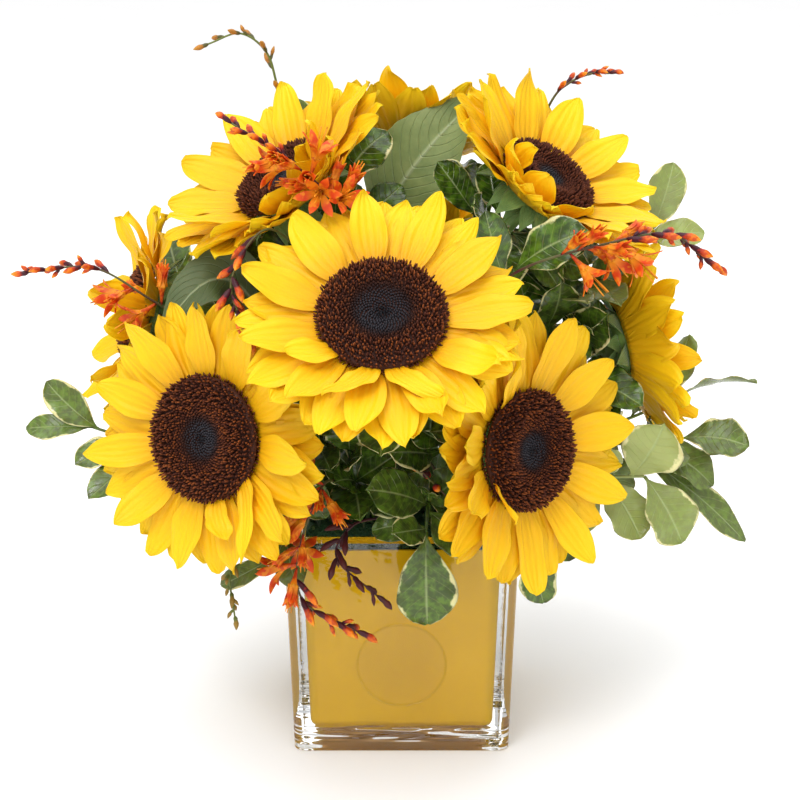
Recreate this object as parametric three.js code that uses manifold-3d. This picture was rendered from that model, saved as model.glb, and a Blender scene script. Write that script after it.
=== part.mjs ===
// Sunflowers, crocosmia and variegated foliage in a lined glass cube.
// Millimetres, +Z up. The origin is the centre of the vase's underside and the bouquet's front faces -Y.

import * as THREE from 'three';
import { mergeVertices } from 'three/addons/utils/BufferGeometryUtils.js';
import Module from 'manifold-3d';

const wasm = await Module();
wasm.setup();

// ---- Driving dimensions ----

const VASE_HEIGHT = 118;
const VASE_TOP_HALF = 60;
const VASE_FOOT_HALF = 56.5;
const VASE_WALL = 9;
const VASE_FLOOR = 10;
const VASE_CORNER = 6;
const CAVITY_CORNER = 5;
const CAVITY_ROUND = 5;
const FIT = 0.3;
const LINER_SHEET = 0.9;
const LINER_TOP = 112;
const FOAM_TOP = 124;
const FOAM_CHAMFER = 7;
const SEAL_RADIUS = 23.5;
const SEAL_HEIGHT = 50;
const SEAL_THICK = 0.8;
const GLASS_EDGE = 1.5;
const CLEAR = 0.35;

// A bloom is a stack along its axis: bracts and receptacle, petal ring, disc.
const RING_HALF = 1.2;
const RING_LIP = 0.5;
const BRACT_TOP = -RING_HALF - FIT;
const DISC_FOOT = RING_HALF + FIT;
const HEAD_DEPTH = 14;
const BRACTS = 8;
const BRACT_EDGE = 2;
const DISC_SIDES = 14;
const SMALL_DISC_SIDES = 11;
const DISC_HEART = 3.6;

// Stems: their radius, their sides, and how deep they stand in the foam.
const STEM_RADIUS = 4;
const STEM_SIDES = 5;
const STEM_DEPTH = 50;
const TWIG_SIDES = 4;
const TWIG_RADIUS = 1.3;
const TWIG_DEPTH = 30;
const LEAF_STALK_RADIUS = 1.8;
const SPRAY_RADIUS = 0.9;
const SPRAY_DEPTH = 28;

const LEAF_THICK = 1.1;
const BIG_LEAF_THICK = 1.3;
const LEAF_ARCH = 0.09;
const SUNK = 0.35;
const FLOWER_TUBE = 11;
const FLOWER_LOBE_LENGTH = 13;
const FLOWER_LOBES = 5;

// head: centre of the petal ring. facing: the bloom's axis. foot: where its stem enters the foam.
// lift and reach: how far the stem runs straight up at the foot and straight out behind the head.
// fold: [direction of the petals that fold over the disc, in degrees round the head; how far they fold;
// and the share of their length that they lack].
const BLOOMS = [
    { name: 'front', head: [-9, -118, 250], facing: [0, -0.67, 0.74], foot: [-3, -30],
        lift: 36, reach: 40, disc: 29.5, petal: 39.5, cup: 8, slots: 22, fold: [90, 5, 0], seed: 11 },
    { name: 'left', head: [-93, -84, 182], facing: [-0.51, -0.84, 0.18], foot: [-28, -24],
        lift: 30, reach: 35, disc: 30.5, petal: 38.5, cup: 7, slots: 22, fold: [0, 6, 0], seed: 23 },
    { name: 'right', head: [59, -84, 176], facing: [0.67, -0.73, 0.15], foot: [22, -24],
        lift: 26, reach: 35, disc: 29, petal: 40, cup: 8, slots: 22, fold: [165, 12, 0], seed: 37 },
    { name: 'upper_left', head: [-56.5, -32, 296], facing: [-0.52, -0.34, 0.8], foot: [-20, -5],
        lift: 56, reach: 50, disc: 24.5, petal: 41, cup: 24, slots: 22, fold: [-5, 30, 0.42], seed: 41 },
    { name: 'upper_right', head: [71, -20, 294], facing: [0.52, -0.36, 0.78], foot: [17, -2],
        lift: 56, reach: 50, disc: 25, petal: 41, cup: 24, slots: 22, fold: [-170, 30, 0.42], seed: 53 },
    { name: 'far_right', head: [115, 0, 207], facing: [0.96, 0.18, 0.2], foot: [36, 9],
        lift: 30, reach: 35, disc: 24, petal: 38, cup: 34, slots: 16, fold: [0, 0, 0], seed: 61 },
    { name: 'far_left', head: [-134, 5, 222], facing: [-0.94, -0.18, 0.27], foot: [-38, 10],
        lift: 36, reach: 40, disc: 24, petal: 36, cup: 22, slots: 16, fold: [0, 0, 0], seed: 71 },
    { name: 'top', head: [3, 62, 301], facing: [0.1, 0.45, 0.88], foot: [-3, 17],
        lift: 66, reach: 50, disc: 24, petal: 36, cup: 28, slots: 16, fold: [0, 0, 0], seed: 83 },
    { name: 'back', head: [8, 102, 212], facing: [0.05, 0.97, 0.24], foot: [6, 38],
        lift: 30, reach: 35, disc: 27, petal: 38, cup: 10, slots: 18, fold: [0, 0, 0], seed: 97 },
];

// Large leaves: the stalk runs through via to base, and the blade bends from base over bow to tip.
const BIG_LEAVES = [
    { name: 'leaf_top', foot: [5, 6], via: [[2, 12, 205]], base: [-12, 20, 266],
        bow: [6, 16, 304], tip: [41, 24, 332], width: 46, face: [-0.3, -0.9, 0.3] },
    { name: 'leaf_left', foot: [-34, -10], via: [[-46, -20, 180]], base: [-66, -38, 222],
        bow: [-92, -56, 276], tip: [-114, -64, 230], width: 34, face: [-0.5, -0.8, 0.4] },
    { name: 'leaf_back_left', foot: [-24, 28], via: [[-34, 44, 170]], base: [-44, 62, 214],
        bow: [-62, 88, 262], tip: [-84, 108, 250], width: 44, face: [-0.4, 0.8, 0.5] },
    { name: 'leaf_back_right', foot: [28, 30], via: [[40, 46, 165]], base: [52, 62, 205],
        bow: [74, 86, 250], tip: [96, 104, 232], width: 44, face: [0.4, 0.8, 0.5] },
];

// Variegated stems: the stem runs through via, and each leaf is [place along the stem, tip, width].
const LEAFY = [
    { name: 'leafy_front', foot: [14, -41], via: [[14, -54, 138], [13, -67, 140], [12, -74, 130]],
        leaves: [[1, [13, -79, 82], 30], [0.72, [34, -84, 121], 21], [0.62, [-18, -86, 156], 25],
            [0.5, [30, -72, 158], 20]] },
    { name: 'leafy_front_left', foot: [-14, -40], via: [[-18, -50, 140], [-24, -58, 152], [-26, -62, 168]],
        leaves: [[0.4, [6, -70, 142], 25], [1, [-27, -76, 190], 22], [0.62, [-2, -66, 168], 20],
            [0.85, [-6, -62, 186], 18], [0.5, [-46, -70, 142], 18]] },
    { name: 'leafy_front_right', foot: [38, -38], via: [[44, -50, 138], [54, -60, 136], [64, -64, 122]],
        leaves: [[1, [72, -66, 88], 20], [0.7, [88, -64, 112], 18], [0.55, [52, -76, 112], 17]] },
    { name: 'leafy_low_right', foot: [43, -12], via: [[64, -16, 136], [96, -22, 140], [126, -26, 142]],
        leaves: [[1, [146, -34, 108], 30], [0.9, [134, -34, 174], 32], [0.72, [124, -34, 110], 25],
            [0.55, [92, -34, 112], 22]] },
    { name: 'leafy_right', foot: [44, 20], via: [[78, 20, 140], [118, 14, 146], [150, 12, 150]],
        leaves: [[1, [186, 4, 148], 25], [0.93, [166, -6, 184], 25], [0.82, [168, 4, 126], 24],
            [0.72, [188, 12, 90], 19], [0.62, [120, 6, 118], 24]] },
    { name: 'leafy_far_right', foot: [30, 20], via: [[78, 46, 138], [122, 60, 144], [152, 42, 164]],
        leaves: [[1, [192, 22, 178], 19], [0.9, [160, 58, 196], 20], [0.74, [138, 82, 168], 22],
            [0.6, [104, 84, 168], 22]] },
    { name: 'leafy_upper_right', foot: [27, -4], via: [[56, 2, 190], [98, 6, 236], [130, 14, 262]],
        leaves: [[1, [141, 22, 298], 20], [0.94, [158, 14, 262], 17], [0.86, [128, -40, 256], 17],
            [0.7, [110, -36, 226], 20], [0.6, [92, -44, 238], 18]] },
    { name: 'leafy_top_right', foot: [10, -12], via: [[20, -22, 200], [38, -44, 240], [54, -66, 260]],
        leaves: [[1, [88, -76, 282], 24], [0.9, [40, -58, 288], 18], [0.75, [24, -34, 262], 18],
            [0.55, [56, -30, 222], 20]] },
    { name: 'leafy_top_left', foot: [-12, 8], via: [[-30, 14, 210], [-46, 24, 256], [-50, 34, 294]],
        leaves: [[1, [-60, 46, 328], 20], [0.9, [-24, 30, 318], 18], [0.75, [-78, 30, 284], 22],
            [0.6, [-18, 34, 262], 20]] },
    { name: 'leafy_left', foot: [-43, -6], via: [[-84, -10, 142], [-126, -16, 156], [-160, -18, 166]],
        leaves: [[1, [-196, -14, 164], 14], [0.96, [-184, -14, 190], 18], [0.86, [-160, -14, 196], 17],
            [0.8, [-168, -32, 150], 17], [0.65, [-160, -44, 136], 19], [0.55, [-112, -20, 120], 22]] },
    { name: 'leafy_low_left', foot: [-38, -36], via: [[-48, -48, 134], [-56, -56, 126], [-62, -60, 112]],
        leaves: [[1, [-92, -58, 94], 12], [0.8, [-52, -76, 100], 16], [0.7, [-84, -62, 124], 18],
            [0.5, [-60, -42, 150], 20]] },
    { name: 'leafy_back_left', foot: [-40, 34], via: [[-60, 50, 140], [-84, 68, 158], [-104, 84, 170]],
        leaves: [[1, [-130, 100, 166], 24], [0.9, [-98, 104, 190], 24], [0.8, [-112, 62, 176], 22],
            [0.66, [-70, 90, 138], 24], [0.5, [-84, 46, 128], 24]] },
    { name: 'leafy_back_right', foot: [40, 38], via: [[58, 54, 138], [78, 74, 150], [96, 90, 158]],
        leaves: [[1, [124, 104, 150], 24], [0.9, [88, 112, 176], 24], [0.8, [112, 70, 164], 22],
            [0.66, [62, 96, 130], 24], [0.5, [84, 52, 122], 24]] },
    { name: 'leafy_back', foot: [-10, 44], via: [[-12, 56, 140], [-16, 70, 146], [-18, 84, 142]],
        leaves: [[1, [-20, 96, 108], 26], [0.85, [-46, 92, 130], 24], [0.7, [12, 88, 128], 24],
            [0.5, [-34, 70, 160], 22]] },
];

// Crocosmia and berry sprays. buds: [first place along the stem, last place, count, bud length, bud radius].
// flowers: [place along the stem, direction round it in degrees].
// early: laid before the petals, which bend round it.
const SPRAYS = [
    { name: 'spray_upper_left', foot: [-11, -15],
        via: [[-15, -24, 200], [-20, -42, 250], [-25, -57, 284], [-50, -75, 313], [-79, -73, 332]],
        buds: [0.82, 1, 8, 7, 1.5], flowers: [[0.66, 250], [0.71, 320], [0.75, 220], [0.79, 290]], seed: 5 },
    { name: 'spray_right', foot: [12, -26], early: true,
        via: [[18, -30, 190], [32, -56, 236], [56, -80, 264], [94, -84, 277], [126, -75, 280],
            [148, -68, 264]],
        buds: [0.72, 1, 10, 8, 1.6], flowers: [[0.6, 280], [0.66, 240], [0.7, 300]], seed: 7 },
    { name: 'spray_left', foot: [-28, 4], early: true,
        via: [[-40, -2, 170], [-78, -14, 208], [-118, -40, 236], [-150, -46, 257], [-183, -46, 255]],
        buds: [0.76, 1, 10, 7, 1.5], flowers: [[0.62, 250], [0.68, 300]], seed: 13 },
    { name: 'spray_centre_left', foot: [-14, -22], early: true,
        via: [[-22, -26, 200], [-40, -50, 252], [-62, -82, 284], [-79, -94, 262], [-72, -97, 238]],
        buds: [0.66, 1, 9, 8, 1.6], flowers: [], seed: 17 },
    { name: 'spray_front_left', foot: [-26, -42], early: true,
        via: [[-28, -58, 146], [-38, -84, 158], [-50, -92, 126], [-48, -90, 99], [-22, -85, 81]],
        buds: [0.7, 1, 9, 8, 1.5], flowers: [[0.4, 80], [0.5, 20], [0.58, 330], [0.64, 60]], seed: 19 },
    { name: 'spray_top_left', foot: [-20, 16], early: true,
        via: [[-30, 18, 220], [-48, 16, 290], [-62, 14, 334], [-68, 12, 355], [-81, 10, 365],
            [-97, 8, 360]],
        buds: [0.42, 1, 8, 6.5, 1.3], flowers: [], seed: 29 },
    { name: 'spray_top_right', foot: [24, 16], early: false,
        via: [[36, 24, 220], [58, 34, 290], [72, 30, 327], [82, 30, 338], [94, 29, 343],
            [107, 28, 343]],
        buds: [0.56, 1, 7, 6, 1.3], flowers: [], seed: 31 },
    { name: 'spray_front_dark', foot: [2, -43], early: false,
        via: [[-8, -60, 144], [-24, -76, 146], [-32, -84, 132], [-12, -87, 101]],
        buds: [0.5, 1, 9, 7, 1.4], flowers: [], seed: 43 },
    { name: 'spray_low_left', foot: [-44, -24], early: false,
        via: [[-62, -46, 136], [-78, -60, 122], [-82, -64, 104], [-85, -64, 80]],
        buds: [0.6, 1, 7, 6, 1.3], flowers: [], seed: 47 },
    { name: 'spray_berries', foot: [27, -40], early: false,
        via: [[16, -52, 156], [0, -66, 178], [4, -78, 170], [22, -78, 150]],
        buds: [0.5, 1, 8, 5, 1.8], flowers: [], seed: 59 },
];

// What an aimed blade and a routed stem try, in this order, until they are clear of what is there already.
const PETAL_BENDS = [0, 9, -9, 18, -18, 28, -28, 40, -40, 54, 68];
const LEAF_BENDS = [
    [0, 0], [14, 0], [-14, 0], [0, 16], [0, -16], [28, 0], [-28, 0], [20, 26], [-20, 26],
    [20, -26], [-20, -26], [44, 0], [-44, 0], [0, 40], [0, -40], [62, 0], [-62, 0],
];
const STEM_SHIFTS = [
    [0, 0, 0], [5, 0, 0], [-5, 0, 0], [0, 5, 0], [0, -5, 0], [0, 0, 6], [0, 0, -6],
    [9, 0, 0], [-9, 0, 0], [0, 9, 0], [0, -9, 0], [7, 7, 0], [-7, 7, 0], [7, -7, 0], [-7, -7, 0],
    [0, 0, 12], [0, 0, -12], [14, 0, 6], [-14, 0, 6], [0, 14, 6], [0, -14, 6],
    [14, 0, -6], [-14, 0, -6], [0, 14, -6], [0, -14, -6],
];

// ---- Colours ----

const FINISHES = {
    glass: { color: 0xe8f0ee, roughness: 0.05, metalness: 0, transparent: true, opacity: 0.35 },
    gold: { color: 0xcba03c, roughness: 0.45, metalness: 0.3 },
    foam: { color: 0x2f5a33, roughness: 0.95, metalness: 0 },
    seal: { color: 0xf2eee0, roughness: 0.15, metalness: 0, transparent: true, opacity: 0.5 },
    petal: { color: 0xf8c31c, roughness: 0.55, metalness: 0 },
    disc: { color: 0x3a1c10, roughness: 0.85, metalness: 0 },
    stem: { color: 0x6f9440, roughness: 0.6, metalness: 0 },
    leaf: { color: 0x3f6b35, roughness: 0.45, metalness: 0 },
    bigLeaf: { color: 0x6f8f5c, roughness: 0.6, metalness: 0 },
    spray: { color: 0xe0561c, roughness: 0.5, metalness: 0 },
};

const group = new THREE.Group();
const placed = [];

// ---- Small tools ----

const point = (list) => new THREE.Vector3(...list);
const mix = (a, b, t) => a + (b - a) * t;
const radians = (degrees) => degrees * Math.PI / 180;

function seeded(seed) {
    let state = seed * 7919;
    return () => {
        state = state * 16807 % 2147483647;
        return (state - 1) / 2147483646;
    };
}

class Facets {
    constructor() {
        this.positions = [];
        this.indices = [];
    }

    vertex(p) {
        this.positions.push(p.x, p.y, p.z);
        return this.positions.length / 3 - 1;
    }

    face(...corners) {
        for (let i = 1; i < corners.length - 1; i += 1) {
            this.indices.push(corners[0], corners[i], corners[i + 1]);
        }
    }

    geometry() {
        const geometry = new THREE.BufferGeometry();
        geometry.setAttribute('position', new THREE.Float32BufferAttribute(this.positions, 3));
        geometry.setIndex(this.indices);
        return geometry;
    }
}

function toSolid(source) {
    const bare = source.clone();
    bare.deleteAttribute('normal');
    bare.deleteAttribute('uv');
    const merged = mergeVertices(bare, 1e-4);
    const vertProperties = new Float32Array(merged.attributes.position.array);
    const triVerts = new Uint32Array(merged.index.array);
    const solid = new wasm.Manifold(new wasm.Mesh({ numProp: 3, vertProperties, triVerts }));
    if (solid.volume() > 0) {
        return solid;
    }
    return new wasm.Manifold(new wasm.Mesh({ numProp: 3, vertProperties, triVerts: triVerts.reverse() }));
}

function toGeometry(solid) {
    const mesh = solid.getMesh();
    const geometry = new THREE.BufferGeometry();
    geometry.setAttribute('position', new THREE.BufferAttribute(new Float32Array(mesh.vertProperties), 3));
    geometry.setIndex(new THREE.BufferAttribute(new Uint32Array(mesh.triVerts), 1));
    geometry.computeVertexNormals();
    return geometry;
}

function fuse(solids) {
    return wasm.Manifold.union(solids).simplify(0.05);
}

function place(name, solid, finish) {
    const mesh = new THREE.Mesh(toGeometry(solid), new THREE.MeshStandardMaterial(FINISHES[finish]));
    mesh.name = name;
    group.add(mesh);
    placed.push({ name, solid, box: solid.boundingBox() });
}

function boxesApart(a, b) {
    return [0, 1, 2].some((axis) => a.min[axis] > b.max[axis] + CLEAR || b.min[axis] > a.max[axis] + CLEAR);
}

function isClear(solid, others = placed) {
    const box = solid.boundingBox();
    return others.every((other) => boxesApart(box, other.box) || solid.minGap(other.solid, 1) >= CLEAR);
}

// ---- Glass, liner, seal ----

function squareRing({ z, half, corner }) {
    const steps = 3;
    const ring = [];
    for (let side = 0; side < 4; side += 1) {
        for (let step = 0; step <= steps; step += 1) {
            const angle = (side + step / steps) * Math.PI / 2;
            const cx = [1, -1, -1, 1][side] * (half - corner);
            const cy = [1, 1, -1, -1][side] * (half - corner);
            ring.push(new THREE.Vector3(cx + corner * Math.cos(angle), cy + corner * Math.sin(angle), z));
        }
    }
    return ring;
}

function squareLoft(levels) {
    const facets = new Facets();
    const rings = levels.map((level) => squareRing(level).map((p) => facets.vertex(p)));
    const count = rings[0].length;
    for (let level = 0; level < rings.length - 1; level += 1) {
        for (let i = 0; i < count; i += 1) {
            const next = (i + 1) % count;
            facets.face(rings[level][i], rings[level][next], rings[level + 1][next], rings[level + 1][i]);
        }
    }
    facets.face(...[...rings[0]].reverse());
    facets.face(...rings.at(-1));
    return toSolid(facets.geometry());
}

const outerHalf = (z) => mix(VASE_FOOT_HALF, VASE_TOP_HALF, z / VASE_HEIGHT);

// Levels of a rounded box with walls in line with the glass, inset from its outside.
function innerLevels(inset, floor, round, top) {
    const corner = CAVITY_CORNER + VASE_WALL - inset;
    const levels = [0, 0.35, 0.7, 1].map((turn) => {
        const angle = turn * Math.PI / 2;
        const z = floor + round * (1 - Math.cos(angle));
        const tuck = round * (1 - Math.sin(angle));
        return { z, half: outerHalf(z) - inset - tuck, corner: corner - tuck * 0.5 };
    });
    return [...levels, { z: top, half: outerHalf(top) - inset, corner }];
}

function makeVase() {
    const foot = [[0, 2 * GLASS_EDGE], [0.5 * GLASS_EDGE, 0.7 * GLASS_EDGE], [2 * GLASS_EDGE, 0]];
    const levels = foot.map(([z, tuck]) => (
        { z, half: outerHalf(z) - tuck, corner: VASE_CORNER - tuck * 0.4 }));
    levels.push({ z: VASE_HEIGHT - GLASS_EDGE, half: VASE_TOP_HALF, corner: VASE_CORNER });
    levels.push({ z: VASE_HEIGHT, half: VASE_TOP_HALF - GLASS_EDGE, corner: VASE_CORNER - 1 });
    const cavity = innerLevels(VASE_WALL, VASE_FLOOR, CAVITY_ROUND, VASE_HEIGHT - GLASS_EDGE);
    const mouth = cavity.at(-1);
    cavity.push({ z: mouth.z + 2 * GLASS_EDGE, half: mouth.half + 2 * GLASS_EDGE, corner: mouth.corner });
    place('vase', squareLoft(levels).subtract(squareLoft(cavity)), 'glass');
}

function makeLiner() {
    const inset = VASE_WALL + FIT;
    const floor = VASE_FLOOR + FIT;
    const outside = innerLevels(inset, floor, CAVITY_ROUND, LINER_TOP);
    const inside = innerLevels(inset + LINER_SHEET, floor + LINER_SHEET, CAVITY_ROUND, LINER_TOP + 5);
    place('liner', squareLoft(outside).subtract(squareLoft(inside)), 'gold');
}

function makeSeal() {
    const profile = [[0, 0], [SEAL_RADIUS, 0], [SEAL_RADIUS - SEAL_THICK / 2, SEAL_THICK], [0, SEAL_THICK]];
    const seal = new THREE.LatheGeometry(profile.map(([r, z]) => new THREE.Vector2(r, z)), 24);
    const lean = Math.atan2(VASE_TOP_HALF - VASE_FOOT_HALF, VASE_HEIGHT);
    seal.rotateX(Math.PI);
    seal.rotateX(lean);
    seal.translate(0, -outerHalf(SEAL_HEIGHT) - FIT, SEAL_HEIGHT);
    place('seal', toSolid(seal), 'seal');
}

// ---- Stems ----

// A stem's course: straight from its end in the foam to the foam's top, then smooth through its points.
class Stalk extends THREE.Curve {
    constructor(foot, depth, points, perSpan) {
        super();
        const start = new THREE.Vector3(foot[0], foot[1], FOAM_TOP + 1);
        this.route = new THREE.CatmullRomCurve3([start, ...points], false, 'catmullrom', 0.5);
        this.depth = depth;
        this.steps = points.length * perSpan + 1;
        this.knots = [new THREE.Vector3(foot[0], foot[1], FOAM_TOP - depth)];
        for (let i = 0; i < this.steps; i += 1) {
            this.knots.push(this.route.getPoint(i / (this.steps - 1)));
        }
    }

    // The point on the rod itself, at a share of its smooth stretch.
    onRod(share) {
        const place = share * (this.steps - 1);
        const index = Math.min(Math.floor(place), this.steps - 2);
        return this.knots[index + 1].clone().lerp(this.knots[index + 2], place - index);
    }

    getPoint(t) {
        const place = Math.min(t * this.steps, this.steps - 1e-9);
        const index = Math.floor(place);
        return this.knots[index].clone().lerp(this.knots[index + 1], place - index);
    }

    getPointAt(t) {
        return this.getPoint(t);
    }

    getTangentAt(t) {
        const index = Math.round(t * this.steps);
        const before = this.knots[Math.max(index - 1, 0)];
        const after = this.knots[Math.min(index + 1, this.steps)];
        return after.clone().sub(before).normalize();
    }
}

function rod(stalk, radius, sides) {
    const section = new THREE.Shape();
    for (let i = 0; i < sides; i += 1) {
        const angle = i / sides * Math.PI * 2;
        section[i === 0 ? 'moveTo' : 'lineTo'](radius * Math.cos(angle), radius * Math.sin(angle));
    }
    section.closePath();
    const options = { steps: stalk.steps, extrudePath: stalk, curveSegments: 1 };
    return toSolid(new THREE.ExtrudeGeometry(section, options));
}

const holes = [];

// A plain hole whose flats clear the stem.
function drill(foot, depth, reach, sides) {
    const floor = FOAM_TOP - depth - FIT;
    const height = FOAM_TOP + 2 - floor;
    const radius = reach / Math.cos(Math.PI / sides);
    const hole = new THREE.CylinderGeometry(radius, radius, height, sides);
    hole.rotateX(Math.PI / 2);
    hole.translate(foot[0], foot[1], floor + height / 2);
    holes.push(toSolid(hole));
}

// Routes a stem through its points, moved sideways together until it is clear.
function routeStem(plan, radius, depth) {
    for (const shift of STEM_SHIFTS) {
        const points = plan.via.map(point);
        points.slice(0, -1).forEach((p) => p.add(point(shift)));
        const stalk = new Stalk(plan.foot, depth, points, 2);
        const solid = rod(stalk, radius, TWIG_SIDES);
        if (isClear(solid)) {
            return { stalk, solid };
        }
    }
    throw new Error(`no clear way for ${plan.name}`);
}

// ---- Blades ----

// Adds a blade that grows from four root corners through stations to a tip.
// A station has a minus and a plus edge, and a top and a bottom rib between them.
function addBlade(facets, root, stations, tip) {
    const rows = stations.map((station) => ({
        minus: facets.vertex(station.minus), plus: facets.vertex(station.plus),
        top: facets.vertex(station.top), bottom: facets.vertex(station.bottom),
    }));
    const first = rows[0];
    facets.face(root.minusTop, first.top, root.plusTop);
    facets.face(root.minusTop, first.minus, first.top);
    facets.face(root.plusTop, first.top, first.plus);
    facets.face(root.minusBottom, root.plusBottom, first.bottom);
    facets.face(root.minusBottom, first.bottom, first.minus);
    facets.face(root.plusBottom, first.plus, first.bottom);
    facets.face(root.minusTop, root.minusBottom, first.minus);
    facets.face(root.plusTop, first.plus, root.plusBottom);
    for (let i = 0; i < rows.length - 1; i += 1) {
        const [a, b] = [rows[i], rows[i + 1]];
        facets.face(a.minus, b.minus, b.top);
        facets.face(a.minus, b.top, a.top);
        facets.face(a.top, b.top, b.plus);
        facets.face(a.top, b.plus, a.plus);
        facets.face(a.minus, b.bottom, b.minus);
        facets.face(a.minus, a.bottom, b.bottom);
        facets.face(a.bottom, b.plus, b.bottom);
        facets.face(a.bottom, a.plus, b.plus);
    }
    const last = rows.at(-1);
    const end = facets.vertex(tip);
    facets.face(last.minus, end, last.top);
    facets.face(last.top, end, last.plus);
    facets.face(last.minus, last.bottom, end);
    facets.face(last.bottom, last.plus, end);
}

// A blade that stands alone, from frames along its rib. The first frame gives the root.
function looseBlade(frames, thick) {
    const facets = new Facets();
    const station = ({ centre, side, up, width, camber }) => ({
        minus: centre.clone().addScaledVector(side, -width / 2).addScaledVector(up, camber),
        plus: centre.clone().addScaledVector(side, width / 2).addScaledVector(up, camber),
        top: centre.clone().addScaledVector(up, thick / 2),
        bottom: centre.clone().addScaledVector(up, -thick / 2),
    });
    const { centre, side, up, width } = frames[0];
    const corner = (s, u) => facets.vertex(
        centre.clone().addScaledVector(side, s * width / 2).addScaledVector(up, u * thick / 2));
    const root = { minusTop: corner(-1, 1), plusTop: corner(1, 1), minusBottom: corner(-1, -1),
        plusBottom: corner(1, -1) };
    facets.face(root.minusTop, root.plusTop, root.plusBottom, root.minusBottom);
    addBlade(facets, root, frames.slice(1, -1).map(station), frames.at(-1).centre);
    return toSolid(facets.geometry());
}

// ---- Blooms ----

function axesOf(bloom) {
    const out = point(bloom.facing).normalize();
    const up = new THREE.Vector3(0, 0, 1);
    up.addScaledVector(out, -out.z).normalize();
    const right = up.clone().cross(out);
    const head = point(bloom.head);
    const at = (angle, r, z, aside = 0) => head.clone()
        .addScaledVector(right, r * Math.cos(angle) - aside * Math.sin(angle))
        .addScaledVector(up, r * Math.sin(angle) + aside * Math.cos(angle))
        .addScaledVector(out, z);
    return { out, at };
}

// A petal's course in its own upright plane.
// It leaves the ring at its cup angle and curls on towards the tip.
function courseOf(petal, share) {
    const steps = 12;
    let [r, z] = [petal.start, petal.rise];
    let angle = petal.cup;
    for (let i = 0; i < steps; i += 1) {
        angle = petal.cup + petal.curl * (i + 0.5) / steps * share;
        r += petal.length * share / steps * Math.cos(radians(angle));
        z += petal.length * share / steps * Math.sin(radians(angle));
    }
    return { r, z, angle: radians(angle) };
}

const PETAL_STATIONS = [[0.42, 1, 0.1, 1.2], [0.78, 0.74, 0.08, 1.0]];

function petalStation(bloom, petal, [share, breadth, camber, thick]) {
    const { at } = axesOf(bloom);
    const { r, z, angle } = courseOf(petal, share);
    const drift = petal.sweep * share * share;
    const lift = (height, aside) => at(
        petal.angle, r - height * Math.sin(angle), z + height * Math.cos(angle), aside + drift);
    const half = petal.width * breadth / 2;
    const edge = petal.width * breadth * camber;
    return {
        minus: lift(edge, -half), plus: lift(edge, half),
        top: lift(thick / 2, 0), bottom: lift(-thick / 2, 0),
    };
}

function petalTip(bloom, petal) {
    const { r, z } = courseOf(petal, 1);
    return axesOf(bloom).at(petal.angle, r, z, petal.sweep);
}

// The petal from a share of its length on, used to look for a clear bend.
function petalFrom(bloom, petal, share) {
    const facets = new Facets();
    const [widest, , camber] = PETAL_STATIONS[0];
    const rootBreadth = 2 * Math.PI * petal.start / bloom.slots / petal.width;
    const grown = share / widest;
    const base = petalStation(bloom, petal, [share, mix(rootBreadth, 1, grown), camber * grown, RING_HALF]);
    const root = { minusTop: facets.vertex(base.minus), plusTop: facets.vertex(base.plus) };
    const sink = base.bottom.sub(base.top);
    root.minusBottom = facets.vertex(base.minus.add(sink));
    root.plusBottom = facets.vertex(base.plus.add(sink));
    facets.face(root.minusTop, root.plusTop, root.plusBottom, root.minusBottom);
    const stations = PETAL_STATIONS.map((row) => petalStation(bloom, petal, row));
    addBlade(facets, root, stations, petalTip(bloom, petal));
    return toSolid(facets.geometry());
}

function choosePetals(bloom) {
    const random = seeded(bloom.seed);
    const jitter = (size) => (random() * 2 - 1) * size;
    const own = [];
    return Array.from({ length: bloom.slots }, (_, slot) => {
        const front = slot % 2 === 0;
        const angle = slot / bloom.slots * Math.PI * 2;
        const [side, lift, lack] = bloom.fold;
        const near = Math.max(0, Math.cos(angle - radians(side))) ** 3;
        const folded = near * lift;
        const petal = {
            front, angle, start: bloom.disc - RING_LIP, rise: (front ? 0.5 : -0.5) * RING_HALF,
            length: bloom.petal * (1 + jitter(0.07)) * (1 - near * lack),
            width: bloom.petal * 0.46 * (1 + jitter(0.08)),
            cup: bloom.cup + (front ? 6 : -4) + jitter(3) + folded,
            curl: jitter(12) + (front ? 4 : -6) + folded * 0.5,
            sweep: jitter(2),
        };
        for (const bend of PETAL_BENDS) {
            const bent = { ...petal, cup: petal.cup + bend };
            const free = petalFrom(bloom, bent, 0.2);
            if (isClear(petalFrom(bloom, bent, 0.03)) && isClear(free, own)) {
                own.push({ solid: free, box: free.boundingBox() });
                return bent;
            }
        }
        return null;
    });
}

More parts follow.
